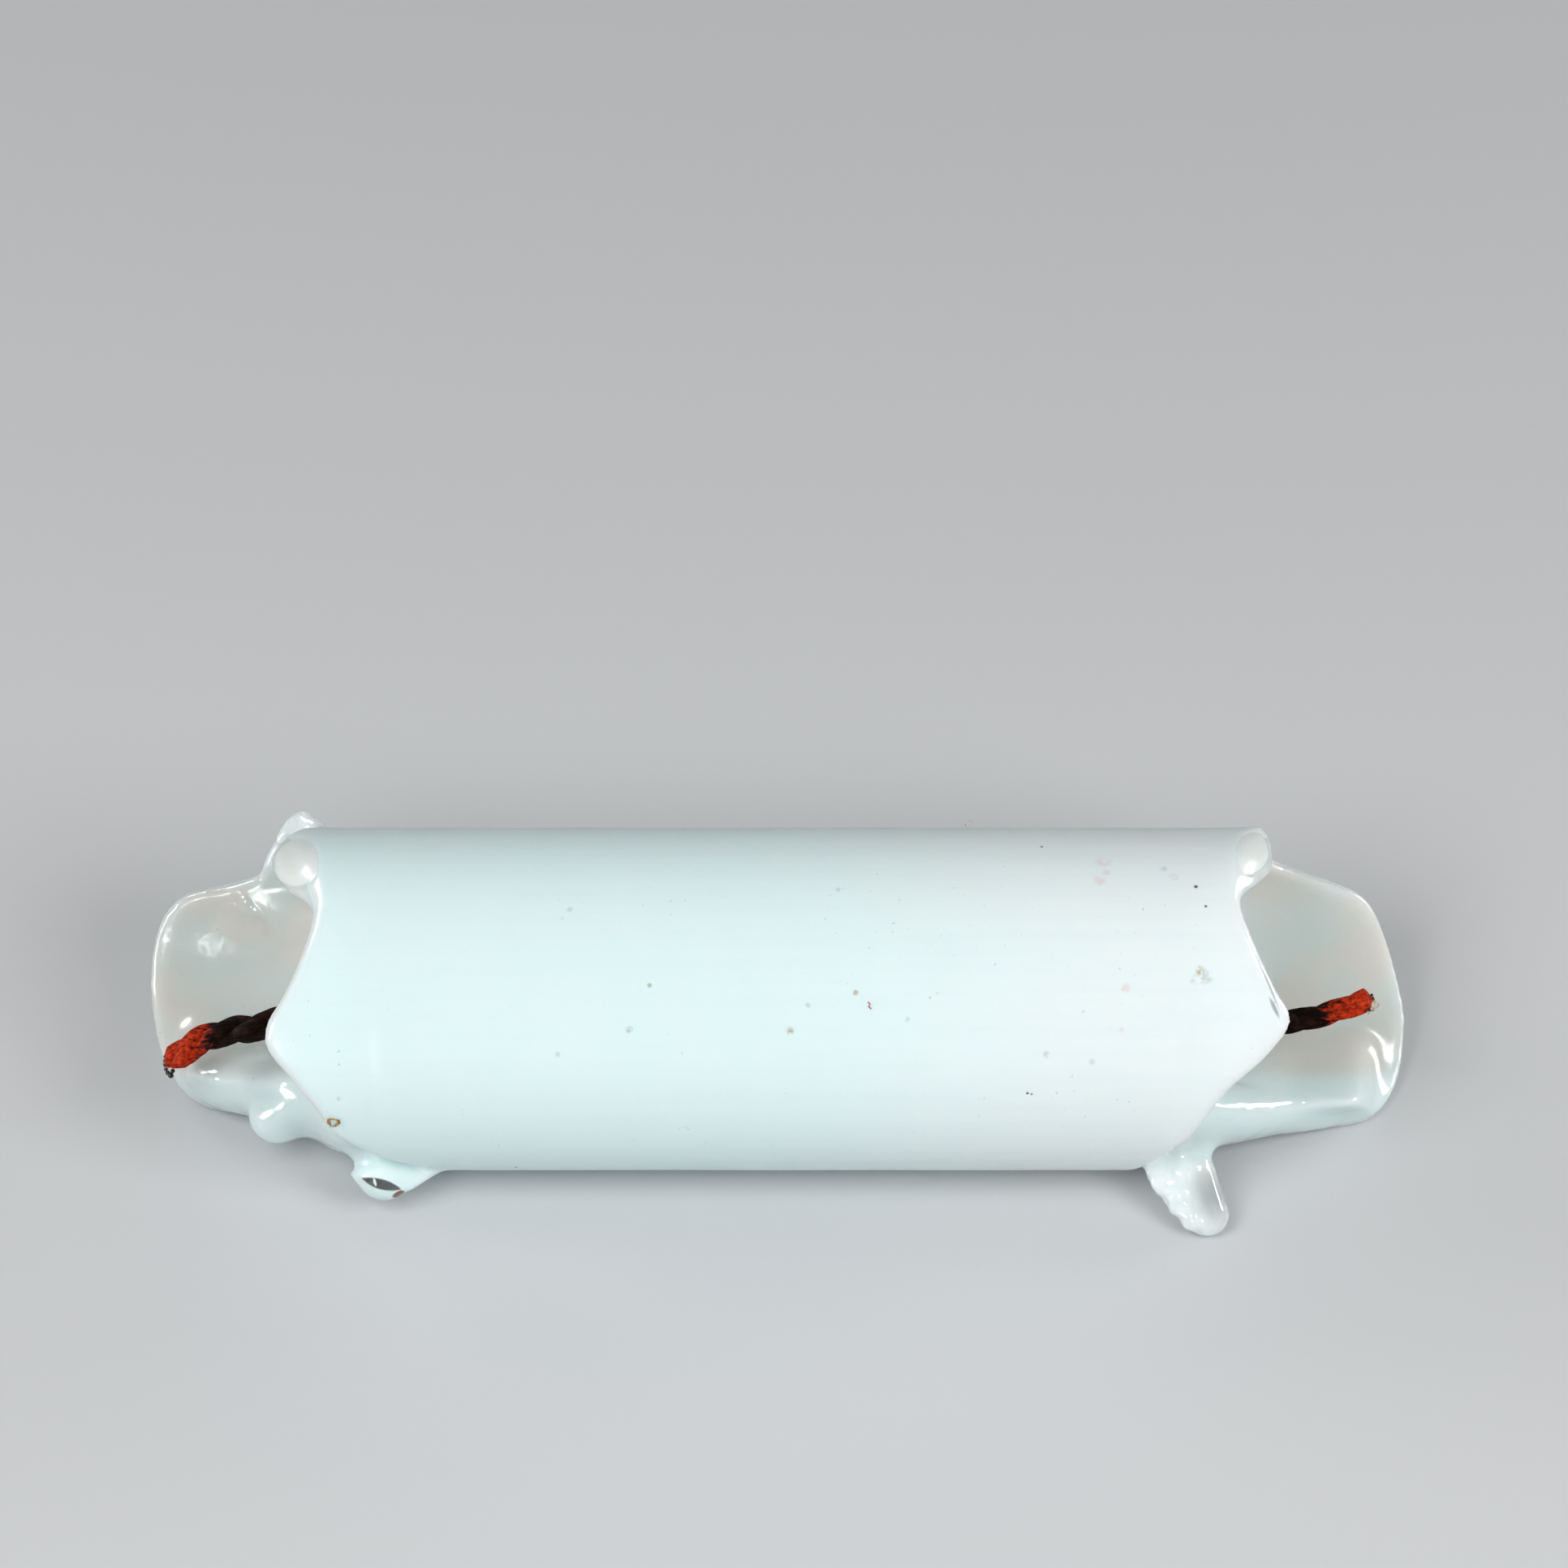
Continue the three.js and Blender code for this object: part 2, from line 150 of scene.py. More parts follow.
@dataclass(frozen=True)
class Oval:
    """Ball stretched along its own axes, as a region of the candle's frame in millimetres.

    It is turned about Y, the direction that the photograph is looked at along.
    """

    centre: Place
    sizes: Place
    turn: float = 0.0

    def depth(self, points: np.ndarray) -> np.ndarray:
        """How far out some points lie.

        Args:
            points: Array of shape (n, 3) in the candle's frame.

        Returns:
            0 at the middle and 1 on the oval, for each point.
        """
        turn = np.array(Matrix.Rotation(self.turn, 3, "Y"))
        return np.linalg.norm(((points - self.centre) @ turn) / self.sizes, axis=1)


LIP_FACES = (
    Oval((-31.1, -5.0, 9.0), (2.25, 4.0, 1.55), math.radians(52)),
    Oval((30.65, -4.5, 9.65), (2.0, 4.0, 1.1), math.radians(-60)),
)


class Noise:
    """Smooth random values over space, from a hashed lattice."""

    FACTORS = (374761393, 668265263, 2147483647)
    SEED_FACTOR = 1274126177
    SPREAD_FACTOR = 1103515245

    def __init__(self, seed: int) -> None:
        """Keeps the seed.

        Args:
            seed: Any whole number; the same seed gives the same values.
        """
        self.seed = seed

    def _lattice(self, cells: np.ndarray) -> np.ndarray:
        """Random value between -1 and 1 at each lattice point.

        Args:
            cells: Whole-number lattice points of shape (n, 3).

        Returns:
            One value for each point.
        """
        mixed = cells.astype(np.int64) @ np.array(self.FACTORS) + self.seed * self.SEED_FACTOR
        mixed = (mixed ^ (mixed >> 13)) * self.SPREAD_FACTOR
        mixed = mixed ^ (mixed >> 16)
        return (mixed & 0xFFFF) / 32767.5 - 1.0

    def at(self, points: np.ndarray, size: float) -> np.ndarray:
        """Noise at some points.

        Args:
            points: Array of shape (n, 3).
            size: Distance between lattice points, in the points' unit.

        Returns:
            One value between -1 and 1 for each point.
        """
        scaled = points / size
        base = np.floor(scaled)
        part = scaled - base
        part = part * part * (3.0 - 2.0 * part)
        total = np.zeros(len(points))
        for corner in np.ndindex(2, 2, 2):
            step = np.array(corner)
            weight = np.prod(np.where(step == 1, part, 1.0 - part), axis=1)
            total += weight * self._lattice(base + step)
        return total


def smoothstep(value: np.ndarray, low: float, high: float) -> np.ndarray:
    """Smooth rise from 0 at low to 1 at high.

    Args:
        value: The values to map.
        low: Where the rise starts.
        high: Where the rise ends; it may be below low.

    Returns:
        The mapped values, between 0 and 1.
    """
    share = np.clip((value - low) / (high - low), 0.0, 1.0)
    return share * share * (3.0 - 2.0 * share)


def vertex_values(mesh: Mesh, name: str) -> np.ndarray:
    """Values of all vertices of a mesh.

    Args:
        mesh: The mesh.
        name: Name of a value with three parts, such as co or normal.

    Returns:
        Array of shape (n, 3).
    """
    values = np.empty(len(mesh.vertices) * 3)
    mesh.vertices.foreach_get(name, values)
    return values.reshape(-1, 3)


def move_vertices(mesh: Mesh, points: np.ndarray) -> None:
    """Puts all vertices of a mesh in new places.

    Args:
        mesh: The mesh.
        points: Array of shape (n, 3).
    """
    mesh.vertices.foreach_set("co", points.ravel())
    mesh.update()


def mesh_object(name: str, vertices: np.ndarray, faces: list[tuple[int, ...]]) -> Object:
    """New smooth-shaded mesh object in the scene.

    Args:
        name: The object's name.
        vertices: Array of shape (n, 3), in metres in the row frame.
        faces: Vertex numbers of each face.

    Returns:
        The object.
    """
    mesh = bpy.data.meshes.new(name)
    mesh.from_pydata(vertices.tolist(), [], faces)
    mesh.update()
    mesh.shade_smooth()
    return linked(name, mesh)


def linked(name: str, data: bpy.types.ID) -> Object:
    """New object in the scene.

    Args:
        name: The object's name.
        data: Its mesh, light or camera.

    Returns:
        The object.
    """
    obj = bpy.data.objects.new(name, data)
    bpy.context.scene.collection.objects.link(obj)
    return obj


def along_line(line: np.ndarray) -> tuple[np.ndarray, np.ndarray, np.ndarray]:
    """Length along a line and two directions square to it.

    Args:
        line: Points of shape (n, 3).

    Returns:
        The length so far, the sideways direction and the other sideways direction, for each point.
    """
    length = np.concatenate([[0.0], np.cumsum(np.linalg.norm(np.diff(line, axis=0), axis=1))])
    tangent = np.gradient(line, axis=0)
    tangent /= np.linalg.norm(tangent, axis=1)[:, None]
    across = np.cross((0.0, 1.0, 0.0), tangent)
    across /= np.linalg.norm(across, axis=1)[:, None]
    return length, across, np.cross(tangent, across)


class Shape:
    """Closed tubes and balls that grow into one piece, in the candle's frame in millimetres."""

    BALL_RINGS = 13
    BALL_SIDES = 16
    BALL_CAP = 0.06

    def __init__(self) -> None:
        """Starts with nothing."""
        self.vertices: list[np.ndarray] = []
        self.faces: list[tuple[int, ...]] = []

    def tube(self, path: np.ndarray, radii: np.ndarray, across: np.ndarray, up: np.ndarray,
             sides: int) -> None:
        """Adds a closed tube along a path.

        Args:
            path: Points along the tube's middle.
            radii: Radius at each point.
            across: Sideways direction at each point.
            up: Other sideways direction at each point.
            sides: Corners of the tube's section.
        """
        start = len(self.vertices)
        angles = 2 * math.pi * np.arange(sides) / sides
        for middle, radius, side, rise in zip(path, radii, across, up):
            for angle in angles:
                self.vertices.append(middle + radius * (math.cos(angle) * side + math.sin(angle) * rise))
        for ring in range(len(path) - 1):
            for corner in range(sides):
                a = start + ring * sides + corner
                b = start + ring * sides + (corner + 1) % sides
                self.faces.append((a, b, b + sides, a + sides))
        self.faces.append(tuple(start + corner for corner in reversed(range(sides))))
        self.faces.append(tuple(start + (len(path) - 1) * sides + corner for corner in range(sides)))

    def ball(self, centre: np.ndarray, radius: float) -> None:
        """Adds a closed ball.

        Args:
            centre: Its middle.
            radius: Its radius.
        """
        angles = np.linspace(self.BALL_CAP, math.pi - self.BALL_CAP, self.BALL_RINGS)
        path = centre + np.outer(-radius * np.cos(angles), (1.0, 0.0, 0.0))
        across = np.tile((0.0, 1.0, 0.0), (len(angles), 1))
        up = np.tile((0.0, 0.0, 1.0), (len(angles), 1))
        self.tube(path, radius * np.sin(angles), across, up, self.BALL_SIDES)

    def in_row(self) -> np.ndarray:
        """The points in the row frame.

        Returns:
            Array of shape (n, 3), in metres.
        """
        return POSE.to_row(np.array(self.vertices))

    def piece(self, name: str) -> Object:
        """Makes the piece.

        Args:
            name: The piece's name.

        Returns:
            The piece.
        """
        return mesh_object(name, self.in_row(), self.faces)


def adopt(obj: Object, material: Material) -> Object:
    """Gives a piece its material and the body that it rides on.

    Args:
        obj: The piece.
        material: Its material.

    Returns:
        The same piece.
    """
    obj.data.materials.clear()
    obj.data.materials.append(material)
    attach(obj, "root")
    count = sum(len(face.vertices) - 2 for face in obj.data.polygons)
    LOG.info("%s: %d triangles", obj.name, count)
    return obj


class Shader:
    """Small helper round one node material, with coordinates in the candle's frame."""

    MIX_FACTOR, MIX_FIRST, MIX_SECOND, MIX_RESULT = 0, 6, 7, 2

    def __init__(self, name: str) -> None:
        """Makes an empty material with an output and a Principled shader.

        Args:
            name: The material's name.
        """
        self.material = bpy.data.materials.new(name)
        self.material.use_nodes = True
        self.nodes = self.material.node_tree.nodes
        self.links = self.material.node_tree.links
        self.surface = self.nodes["Principled BSDF"]
        row = self.node("TexCoord", {}).outputs["Object"]
        inputs = {
            "Vector": row,
            "Location": POSE.matrix().inverted().translation,
            "Rotation": (POSE.roll, 0.0, 0.0),
            "Scale": (1 / MM, 1 / MM, 1 / MM),
        }
        self.place = self.node("Mapping", inputs).outputs["Vector"]

    def node(self, kind: str, inputs: dict[str | int, object], **settings: object) -> Node:
        """Adds a node.

        Args:
            kind: Its type, without the ShaderNode in front.
            inputs: Sockets to link or constants, by the input's name or number.
            **settings: The node's own settings.

        Returns:
            The node.
        """
        node = self.nodes.new("ShaderNode" + kind)
        for name, value in settings.items():
            setattr(node, name, value)
        for key, value in inputs.items():
            if isinstance(value, Socket):
                self.links.new(value, node.inputs[key])
            else:
                node.inputs[key].default_value = value
        return node

    def fix(self, **values: object) -> None:
        """Sets constants on the Principled shader.

        Args:
            **values: Socket names with underscores for spaces, and their values.
        """
        for name, value in values.items():
            self.surface.inputs[name.replace("_", " ")].default_value = value

    def feed(self, name: str, socket: Socket) -> None:
        """Links a socket to the Principled shader.

        Args:
            name: The shader's input.
            socket: What feeds it.
        """
        self.links.new(socket, self.surface.inputs[name])

    def math(self, operation: str, *values: Socket | float) -> Socket:
        """Math node.

        Args:
            operation: Blender's name of the operation.
            *values: Sockets or numbers.

        Returns:
            The node's result.
        """
        return self.node("Math", dict(enumerate(values)), operation=operation).outputs[0]

    def ramp(self, value: Socket, low: float, high: float) -> Socket:
        """Smooth rise from 0 at low to 1 at high.

        Args:
            value: The value to map.
            low: Where the rise starts.
            high: Where the rise ends; it may be below low.

        Returns:
            The mapped value.
        """
        inputs = {
            "Value": value,
            "From Min": min(low, high),
            "From Max": max(low, high),
            "To Min": float(low > high),
            "To Max": float(low < high),
        }
        return self.node("MapRange", inputs, interpolation_type="SMOOTHSTEP").outputs["Result"]

    def both(self, *masks: Socket) -> Socket:
        """Product of some masks.

        Args:
            *masks: The masks.

        Returns:
            Their product.
        """
        return reduce(lambda total, mask: self.math("MULTIPLY", total, mask), masks)

    def any_of(self, *masks: Socket) -> Socket:
        """Largest of some masks.

        Args:
            *masks: The masks.

        Returns:
            The largest value.
        """
        return reduce(lambda total, mask: self.math("MAXIMUM", total, mask), masks)

    def faint(self, mask: Socket, strength: float) -> Socket:
        """Weaker mask.

        Args:
            mask: The mask.
            strength: Share of it that stays.

        Returns:
            The weaker mask.
        """
        return self.math("MULTIPLY", mask, strength)

    def without(self, mask: Socket) -> Socket:
        """Opposite of a mask.

        Args:
            mask: The mask.

        Returns:
            1 where the mask is 0, and 0 where it is 1.
        """
        return self.math("SUBTRACT", 1.0, mask)

    def axes(self) -> list[Socket]:
        """X, Y and Z of the candle's frame.

        Returns:
            The three values.
        """
        return list(self.node("SeparateXYZ", {0: self.place}).outputs)

    def stretched(self, factors: Place) -> Socket:
        """The candle's coordinates, stretched.

        Args:
            factors: One factor for each axis.

        Returns:
            The stretched coordinates.
        """
        return self.node("VectorMath", {0: self.place, 1: factors}, operation="MULTIPLY").outputs[0]

    def noise(self, per_mm: float, detail: float = 3.0, place: Socket | None = None,
              distortion: float = 0.0) -> Socket:
        """Noise texture.

        Args:
            per_mm: Cells in each millimetre.
            detail: Octaves.
            place: Coordinates, or nothing for the candle's frame.
            distortion: Swirl.

        Returns:
            The noise, about 0 to 1.
        """
        inputs = {
            "Vector": place or self.place,
            "Scale": per_mm,
            "Detail": detail,
            "Distortion": distortion,
        }
        return self.node("TexNoise", inputs).outputs["Fac"]

    def mix(self, mask: Socket, first: Socket | Colour, second: Socket | Colour) -> Socket:
        """Mix of two colours.

        Args:
            mask: 0 shows the first, 1 the second.
            first: A socket or an RGB colour.
            second: A socket or an RGB colour.

        Returns:
            The mixed colour.
        """
        shown = [(*value, 1.0) if isinstance(value, tuple) else value for value in (first, second)]
        inputs = {self.MIX_FACTOR: mask, self.MIX_FIRST: shown[0], self.MIX_SECOND: shown[1]}
        return self.node("Mix", inputs, data_type="RGBA").outputs[self.MIX_RESULT]

    def blend(self, mask: Socket, first: Socket | float, second: Socket | float) -> Socket:
        """Mix of two numbers.

        Args:
            mask: 0 gives the first, 1 the second.
            first: A socket or a number.
            second: A socket or a number.

        Returns:
            The mixed number.
        """
        return self.math("MULTIPLY_ADD", self.math("SUBTRACT", second, first), mask, first)

    def near(self, centre: Vector, radius: float, edge: float) -> Socket:
        """Mask of a ball.

        Args:
            centre: Middle of the ball, in the candle's frame.
            radius: Where the mask has fallen to 0, in millimetres.
            edge: Width of the fall, in millimetres.

        Returns:
            1 in the ball and 0 outside.
        """
        gap = self.node("VectorMath", {0: self.place, 1: centre}, operation="DISTANCE")
        return self.ramp(gap.outputs["Value"], radius, radius - edge)

    def oval(self, region: Oval, edge: float) -> Socket:
        """Mask of an oval.

        Args:
            region: The oval.
            edge: Share of the oval's size over which the mask falls to 0 at its border.

        Returns:
            1 in the oval and 0 outside.
        """
        inputs = {
            "Location": region.centre,
            "Rotation": (0.0, region.turn, 0.0),
            "Scale": region.sizes,
            "Vector": self.place,
        }
        inner = self.node("Mapping", inputs, vector_type="TEXTURE").outputs["Vector"]
        reach = self.node("VectorMath", {0: inner}, operation="LENGTH")
        return self.ramp(reach.outputs["Value"], 1.0, 1.0 - edge)

    def bump(self, height: Socket, distance_mm: float, strength: float) -> None:
        """Bump on the Principled shader.

        Args:
            height: The height, about 0 to 1.
            distance_mm: What a height of 1 stands for.
            strength: How much of it shows.
        """
        inputs = {"Distance": distance_mm * MM, "Strength": strength, "Height": height}
        self.feed("Normal", self.node("Bump", inputs).outputs["Normal"])


@dataclass(frozen=True)
class Stain:
    """Dirt of one colour on the candle's side, as spots of the photograph.

    Each spot is a column, a row and a radius in pixels. A stain that isn't solid is broken up by noise.
    """

    name: str
    colour: Colour
    strength: float
    spots: tuple[Place, ...]
    solid: bool = False


STAINS = (
    Stain("pink", (0.80, 0.42, 0.42), 0.30, (
        (1358, 1062, 14), (1354, 1084, 12), (1362, 1074, 8), (1445, 1080, 9), (1386, 1216, 8),
        (1380, 1268, 5),
    )),
    Stain("brown", (0.42, 0.26, 0.10), 0.62, (
        (776, 1267, 6), (973, 1269, 7), (1477, 1195, 8), (419, 1352, 5), (1054, 1222, 5), (801, 1213, 4),
    )),
    Stain("grey", (0.42, 0.40, 0.38), 0.40, (
        (1483, 1204, 13), (1432, 1070, 7), (1032, 1096, 5), (1288, 1298, 6), (1345, 1307, 6), (1117, 1255, 5),
        (688, 1298, 5), (703, 1120, 5), (694, 1131, 4), (820, 1420, 6), (995, 1238, 5), (1470, 1206, 9),
    )),
    Stain("black", (0.02, 0.02, 0.02), 0.95, (
        (1472, 1092, 3.5), (1484, 1116, 2.5), (1283, 1043, 2.6), (636, 1438, 3.0), (1265, 1346, 2.5),
        (1270, 1347, 2.0), (1108, 1445, 3.0),
    ), solid=True),
    Stain("blue", (0.10, 0.30, 0.50), 0.75, ((1211, 1352, 3.2),)),
)


@dataclass(frozen=True)
class WaxFinish:
    """Translucent white wax, glossier and greyer where it melted, with dirt on its side, and painted light:
    lighter edges of the burnt walls and of the petal, painted shadow in the creases at the bevels, warm flame
    light on the back tongues and a white glint in the lens.
    """

    body: Colour = (0.76, 0.935, 0.96)
    warm_body: Colour = (0.85, 0.945, 0.94)
    body_streak: Colour = (0.76, 0.86, 0.87)
    body_cloud: Colour = (0.80, 0.90, 0.93)
    melted: Colour = (0.67, 0.735, 0.715)
    # Painted light: a warm tint standing in for flame light on the back tongues
    flame_tint: Colour = (0.73, 0.72, 0.68)
    pooled: Colour = (0.74, 0.87, 0.87)
    # Painted highlight: lighter colour on the thin edges of the burnt walls
    lit_rim: Colour = (0.88, 0.97, 0.98)
    cream: Colour = (0.87, 0.96, 0.89)
    # Painted light: the petal is lighter to stand in for light shining through it
    petal_glow: Colour = (0.82, 0.97, 0.99)
    amber: Colour = (0.22, 0.10, 0.05)
    clear: Colour = (0.90, 0.93, 0.92)
    shade: Colour = (0.30, 0.33, 0.35)
    speck: Colour = (0.40, 0.36, 0.32)
    scatter_mm: float = 1.5
    scatter_hues: Colour = (1.0, 0.95, 0.9)
    refraction: float = 1.44
    dull: float = 0.36
    satin: float = 0.19
    shiny: float = 0.095
    lip_gloss: float = 0.30
    glassy: float = 0.02
    unevenness: float = 0.06
    clearness: float = 0.93

    LENS = (
        Oval((-24.88, 0.0, -9.78), (2.64, 6.0, 2.64)),
        Oval((-26.06, 0.0, -13.90), (2.64, 6.0, 2.64)),
    )
    GLASSY = Oval((27.75, 0.0, -12.55), (3.1, 5.0, 1.7), math.radians(71))
    # Painted highlight: a white streak in the lens, left opaque to stand in for a glint
    LENS_GLINT = Oval((-25.85, -2.0, -11.75), (0.12, 3.0, 0.34), math.radians(-14))
    GLOSSY = (
        Oval((-33.3, 1.5, -6.2), (4.8, 5.5, 3.6)),
        Oval((27.3, -0.6, -11.8), (3.9, 3.6, 2.5), math.radians(74)),
        Oval((-24.9, -0.5, -12.3), (3.2, 4.0, 1.9)),
    )
    TAIL = Oval((-30.35, -6.0, 6.9), (1.35, 4.0, 0.5), math.radians(58))
    FACET = Oval((-24.35, -1.6, -12.58), (0.58, 2.0, 0.28), math.radians(-30))
    PETAL = Oval((-31.2, 4.2, 11.2), (2.6, 3.4, 2.2))
    STREAK = Oval((-33.8, 8.0, 5.45), (2.7, 4.0, 0.6), math.radians(53))
    # Painted shadow: thin dark lines along the creases at the bevels of the burnt walls
    FOLD_SHADOWS = (
        Oval((31.2, -10.8, 1.6), (3.1, 3.0, 0.10), math.radians(68)),
        Oval((31.8, -10.8, -0.5), (0.95, 3.0, 0.17), math.radians(65)),
        Oval((-31.6, -10.8, 2.2), (1.5, 3.0, 0.08), math.radians(115)),
    )

    def build(self) -> Material:
        """Makes the material.

        Returns:
            The material.
        """
        shader = Shader("wax")
        x, y, z = shader.axes()
        out = shader.math("ABSOLUTE", x)
        squares = shader.math("POWER", y, 2), shader.math("POWER", z, 2)
        radial = shader.math("SQRT", shader.math("ADD", *squares))

        # Regions: melted wax in and outside the craters, the pools, the rims and the small forms
        inside = shader.both(shader.ramp(radial, 10.7, 10.2), shader.ramp(out, 26.0, 27.5))
        uneven = shader.math("MULTIPLY_ADD", shader.noise(0.35), 6.0, out)
        anywhere = shader.any_of(inside, shader.faint(shader.ramp(uneven, 35.0, 43.5), 0.7))
        petal = shader.oval(self.PETAL, 0.15)
        wet = shader.any_of(anywhere, shader.ramp(radial, 11.1, 11.35))
        melted = shader.both(anywhere, shader.without(petal))
        # Painted shadow in the creases at the bevels
        fold_shadows = shader.any_of(*(shader.oval(fold, 0.6) for fold in self.FOLD_SHADOWS))
        pooled = shader.both(melted, shader.ramp(z, -4.2, -5.6))
        wall = shader.both(shader.ramp(radial, 10.98, 10.85), shader.ramp(radial, 10.3, 10.7))
        # Edges of the thin walls: satin, and painted lighter as a painted highlight
        lit_rim = shader.both(wall, shader.ramp(out, 28.0, 29.0))
        lip = shader.any_of(*(shader.oval(face, 0.07) for face in LIP_FACES))
        tail = shader.faint(shader.oval(self.TAIL, 0.8), 0.35)
        streak = shader.oval(self.STREAK, 0.6)
        # Painted highlight: the lens is left opaque in a thin streak to stand in for a glint
        off_glint = shader.without(shader.oval(self.LENS_GLINT, 0.5))
        lens = shader.both(off_glint, *(shader.oval(side, 0.04) for side in self.LENS))
        clear = shader.any_of(lens, shader.faint(shader.oval(self.GLASSY, 0.8), 0.8))

        # Colour: each region is laid over the ones before it
        tone = self._body_tone(shader, x)
        # Painted light: warm patches on the back tongues stand in for the flames' light
        flame_glow = shader.both(shader.ramp(shader.noise(0.16, 2.0), 0.38, 0.60), shader.ramp(y, 2.0, 5.0))
        tone = shader.mix(melted, tone, shader.mix(flame_glow, self.melted, self.flame_tint))
        for mask, strength, colour in (
            (pooled, 0.85, self.pooled),
            (lit_rim, 0.55, self.lit_rim),
            (shader.any_of(lip, tail), 0.9, self.cream),
            (petal, 1.0, self.petal_glow),
            (fold_shadows, 0.75, self.shade),
        ):
            tone = shader.mix(shader.faint(mask, strength), tone, colour)
        tone = shader.mix(clear, self._dirty(shader, tone), self.clear)
        shader.feed("Base Color", shader.mix(shader.oval(self.FACET, 0.3), tone, self.amber))

        # Gloss
        shallow = shader.both(pooled, shader.ramp(out, 38.0, 35.0))
        drops = (shader.oval(region, 0.2) for region in self.GLOSSY)
        rough = shader.blend(shader.any_of(wet, lit_rim), self.dull, self.satin)
        rough = shader.math("MULTIPLY_ADD", shader.noise(1.3, 4.0), self.unevenness, rough)
        rough = shader.blend(shader.any_of(shallow, streak, petal, *drops), rough, self.shiny)
        rough = shader.blend(lip, rough, self.lip_gloss)
        shader.feed("Roughness", shader.blend(clear, rough, self.glassy))

        # Depth
        shader.feed("Transmission Weight", shader.faint(clear, self.clearness))
        shader.feed("Subsurface Weight", shader.without(clear))
        shader.fix(Subsurface_Radius=self.scatter_hues, Subsurface_Scale=self.scatter_mm * MM,
                   IOR=self.refraction)
        self._relief(shader, melted, clear, streak)
        return shader.material

    def _body_tone(self, shader: Shader, x: Socket) -> Socket:
        """Colour of the candle's unburnt side, slightly warmer towards its right end.

        Args:
            shader: The shader.
            x: The place along the candle.

        Returns:
            The colour.
        """
        tone = shader.mix(shader.ramp(x, -6.0, 26.0), self.body, self.warm_body)
        streaks = shader.noise(0.9, 4.0, shader.stretched((0.06, 1.0, 1.0)))
        tone = shader.mix(shader.faint(shader.ramp(streaks, 0.35, 0.75), 0.30), tone, self.body_streak)
        clouds = shader.noise(0.20, distortion=0.6)
        return shader.mix(shader.faint(shader.ramp(clouds, 0.42, 0.75), 0.35), tone, self.body_cloud)

    def _relief(self, shader: Shader, melted: Socket, clear: Socket, streak: Socket) -> None:
        """Adds fine grain on the side and soft waves on melted wax.

        Args:
            shader: The shader.
            melted: Mask of the melted wax.
            clear: Mask of the clear wax, which stays smooth.
            streak: Mask of the crinkled streak.
        """
        grain = shader.noise(3.0, 5.0, shader.stretched((0.35, 1.0, 1.0)))
        waves = shader.faint(shader.noise(0.8, 2.0), 4.0)
        crinkles = shader.faint(shader.noise(1.3, 2.0, distortion=0.6), 6.0)
        waves = shader.math("MULTIPLY_ADD", crinkles, streak, waves)
        shader.bump(shader.blend(clear, shader.blend(melted, grain, waves), 0.5), 0.02, 0.6)

    def _dirty(self, shader: Shader, tone: Socket) -> Socket:
        """Adds the stains and fine specks to a colour.

        Args:
            shader: The shader.
            tone: The clean colour.

        Returns:
            The soiled colour.
        """
        ragged = shader.ramp(shader.noise(2.6, 4.0), 0.35, 0.6)
        for stain in STAINS:
            mask = shader.any_of(*(
                shader.near(POSE.on_side((column, row)), size / PX_PER_MM, 0.7 * size / PX_PER_MM)
                for column, row, size in stain.spots
            ))
            broken = mask if stain.solid else shader.both(mask, ragged)
            tone = shader.mix(shader.faint(broken, stain.strength), tone, stain.colour)
        specks = shader.ramp(shader.noise(3.4, 1.0), 0.74, 0.78)
        patches = shader.ramp(shader.noise(0.12), 0.48, 0.6)
        return shader.mix(shader.faint(shader.both(specks, patches), 0.4), tone, self.speck)


@dataclass(frozen=True)
class WickFinish:
    """Charred twisted cotton that goes red towards its two tips, where the red is painted light of the
    glowing ember.
    """

    char: Colour = (0.006, 0.002, 0.001)
    brown: Colour = (0.035, 0.009, 0.004)
    red: Colour = (0.68, 0.050, 0.009)
    deep_red: Colour = (0.28, 0.016, 0.004)
    left_change: float = -36.9
    right_change: float = 35.6
    roughness: float = 0.7
    shine: float = 0.12

    def build(self) -> Material:
        """Makes the material.

        Returns:
            The material.
        """
        shader = Shader("wick")
        x, _, _ = shader.axes()
        streak = shader.noise(2.4, 4.0, shader.stretched((0.4, 1.8, 1.8)))
        ragged = shader.math("ADD", x, shader.math("MULTIPLY_ADD", streak, 5.0, -2.5))
        left = shader.ramp(ragged, self.left_change + 0.5, self.left_change - 0.5)
        right = shader.ramp(ragged, self.right_change - 0.4, self.right_change + 0.6)
        dark = shader.mix(shader.ramp(shader.noise(1.6, 4.0), 0.45, 0.7), self.char, self.brown)
        # Painted light: the red at the tips stands in for the glowing ember
        ember_glow = shader.mix(shader.ramp(shader.noise(4.0, 3.0), 0.38, 0.66), self.red, self.deep_red)
        shader.feed("Base Color", shader.mix(shader.any_of(left, right), dark, ember_glow))
        shader.fix(Roughness=self.roughness, Specular_IOR_Level=self.shine)
        shader.bump(shader.noise(9.0, 3.0), 0.03, 0.8)
        return shader.material


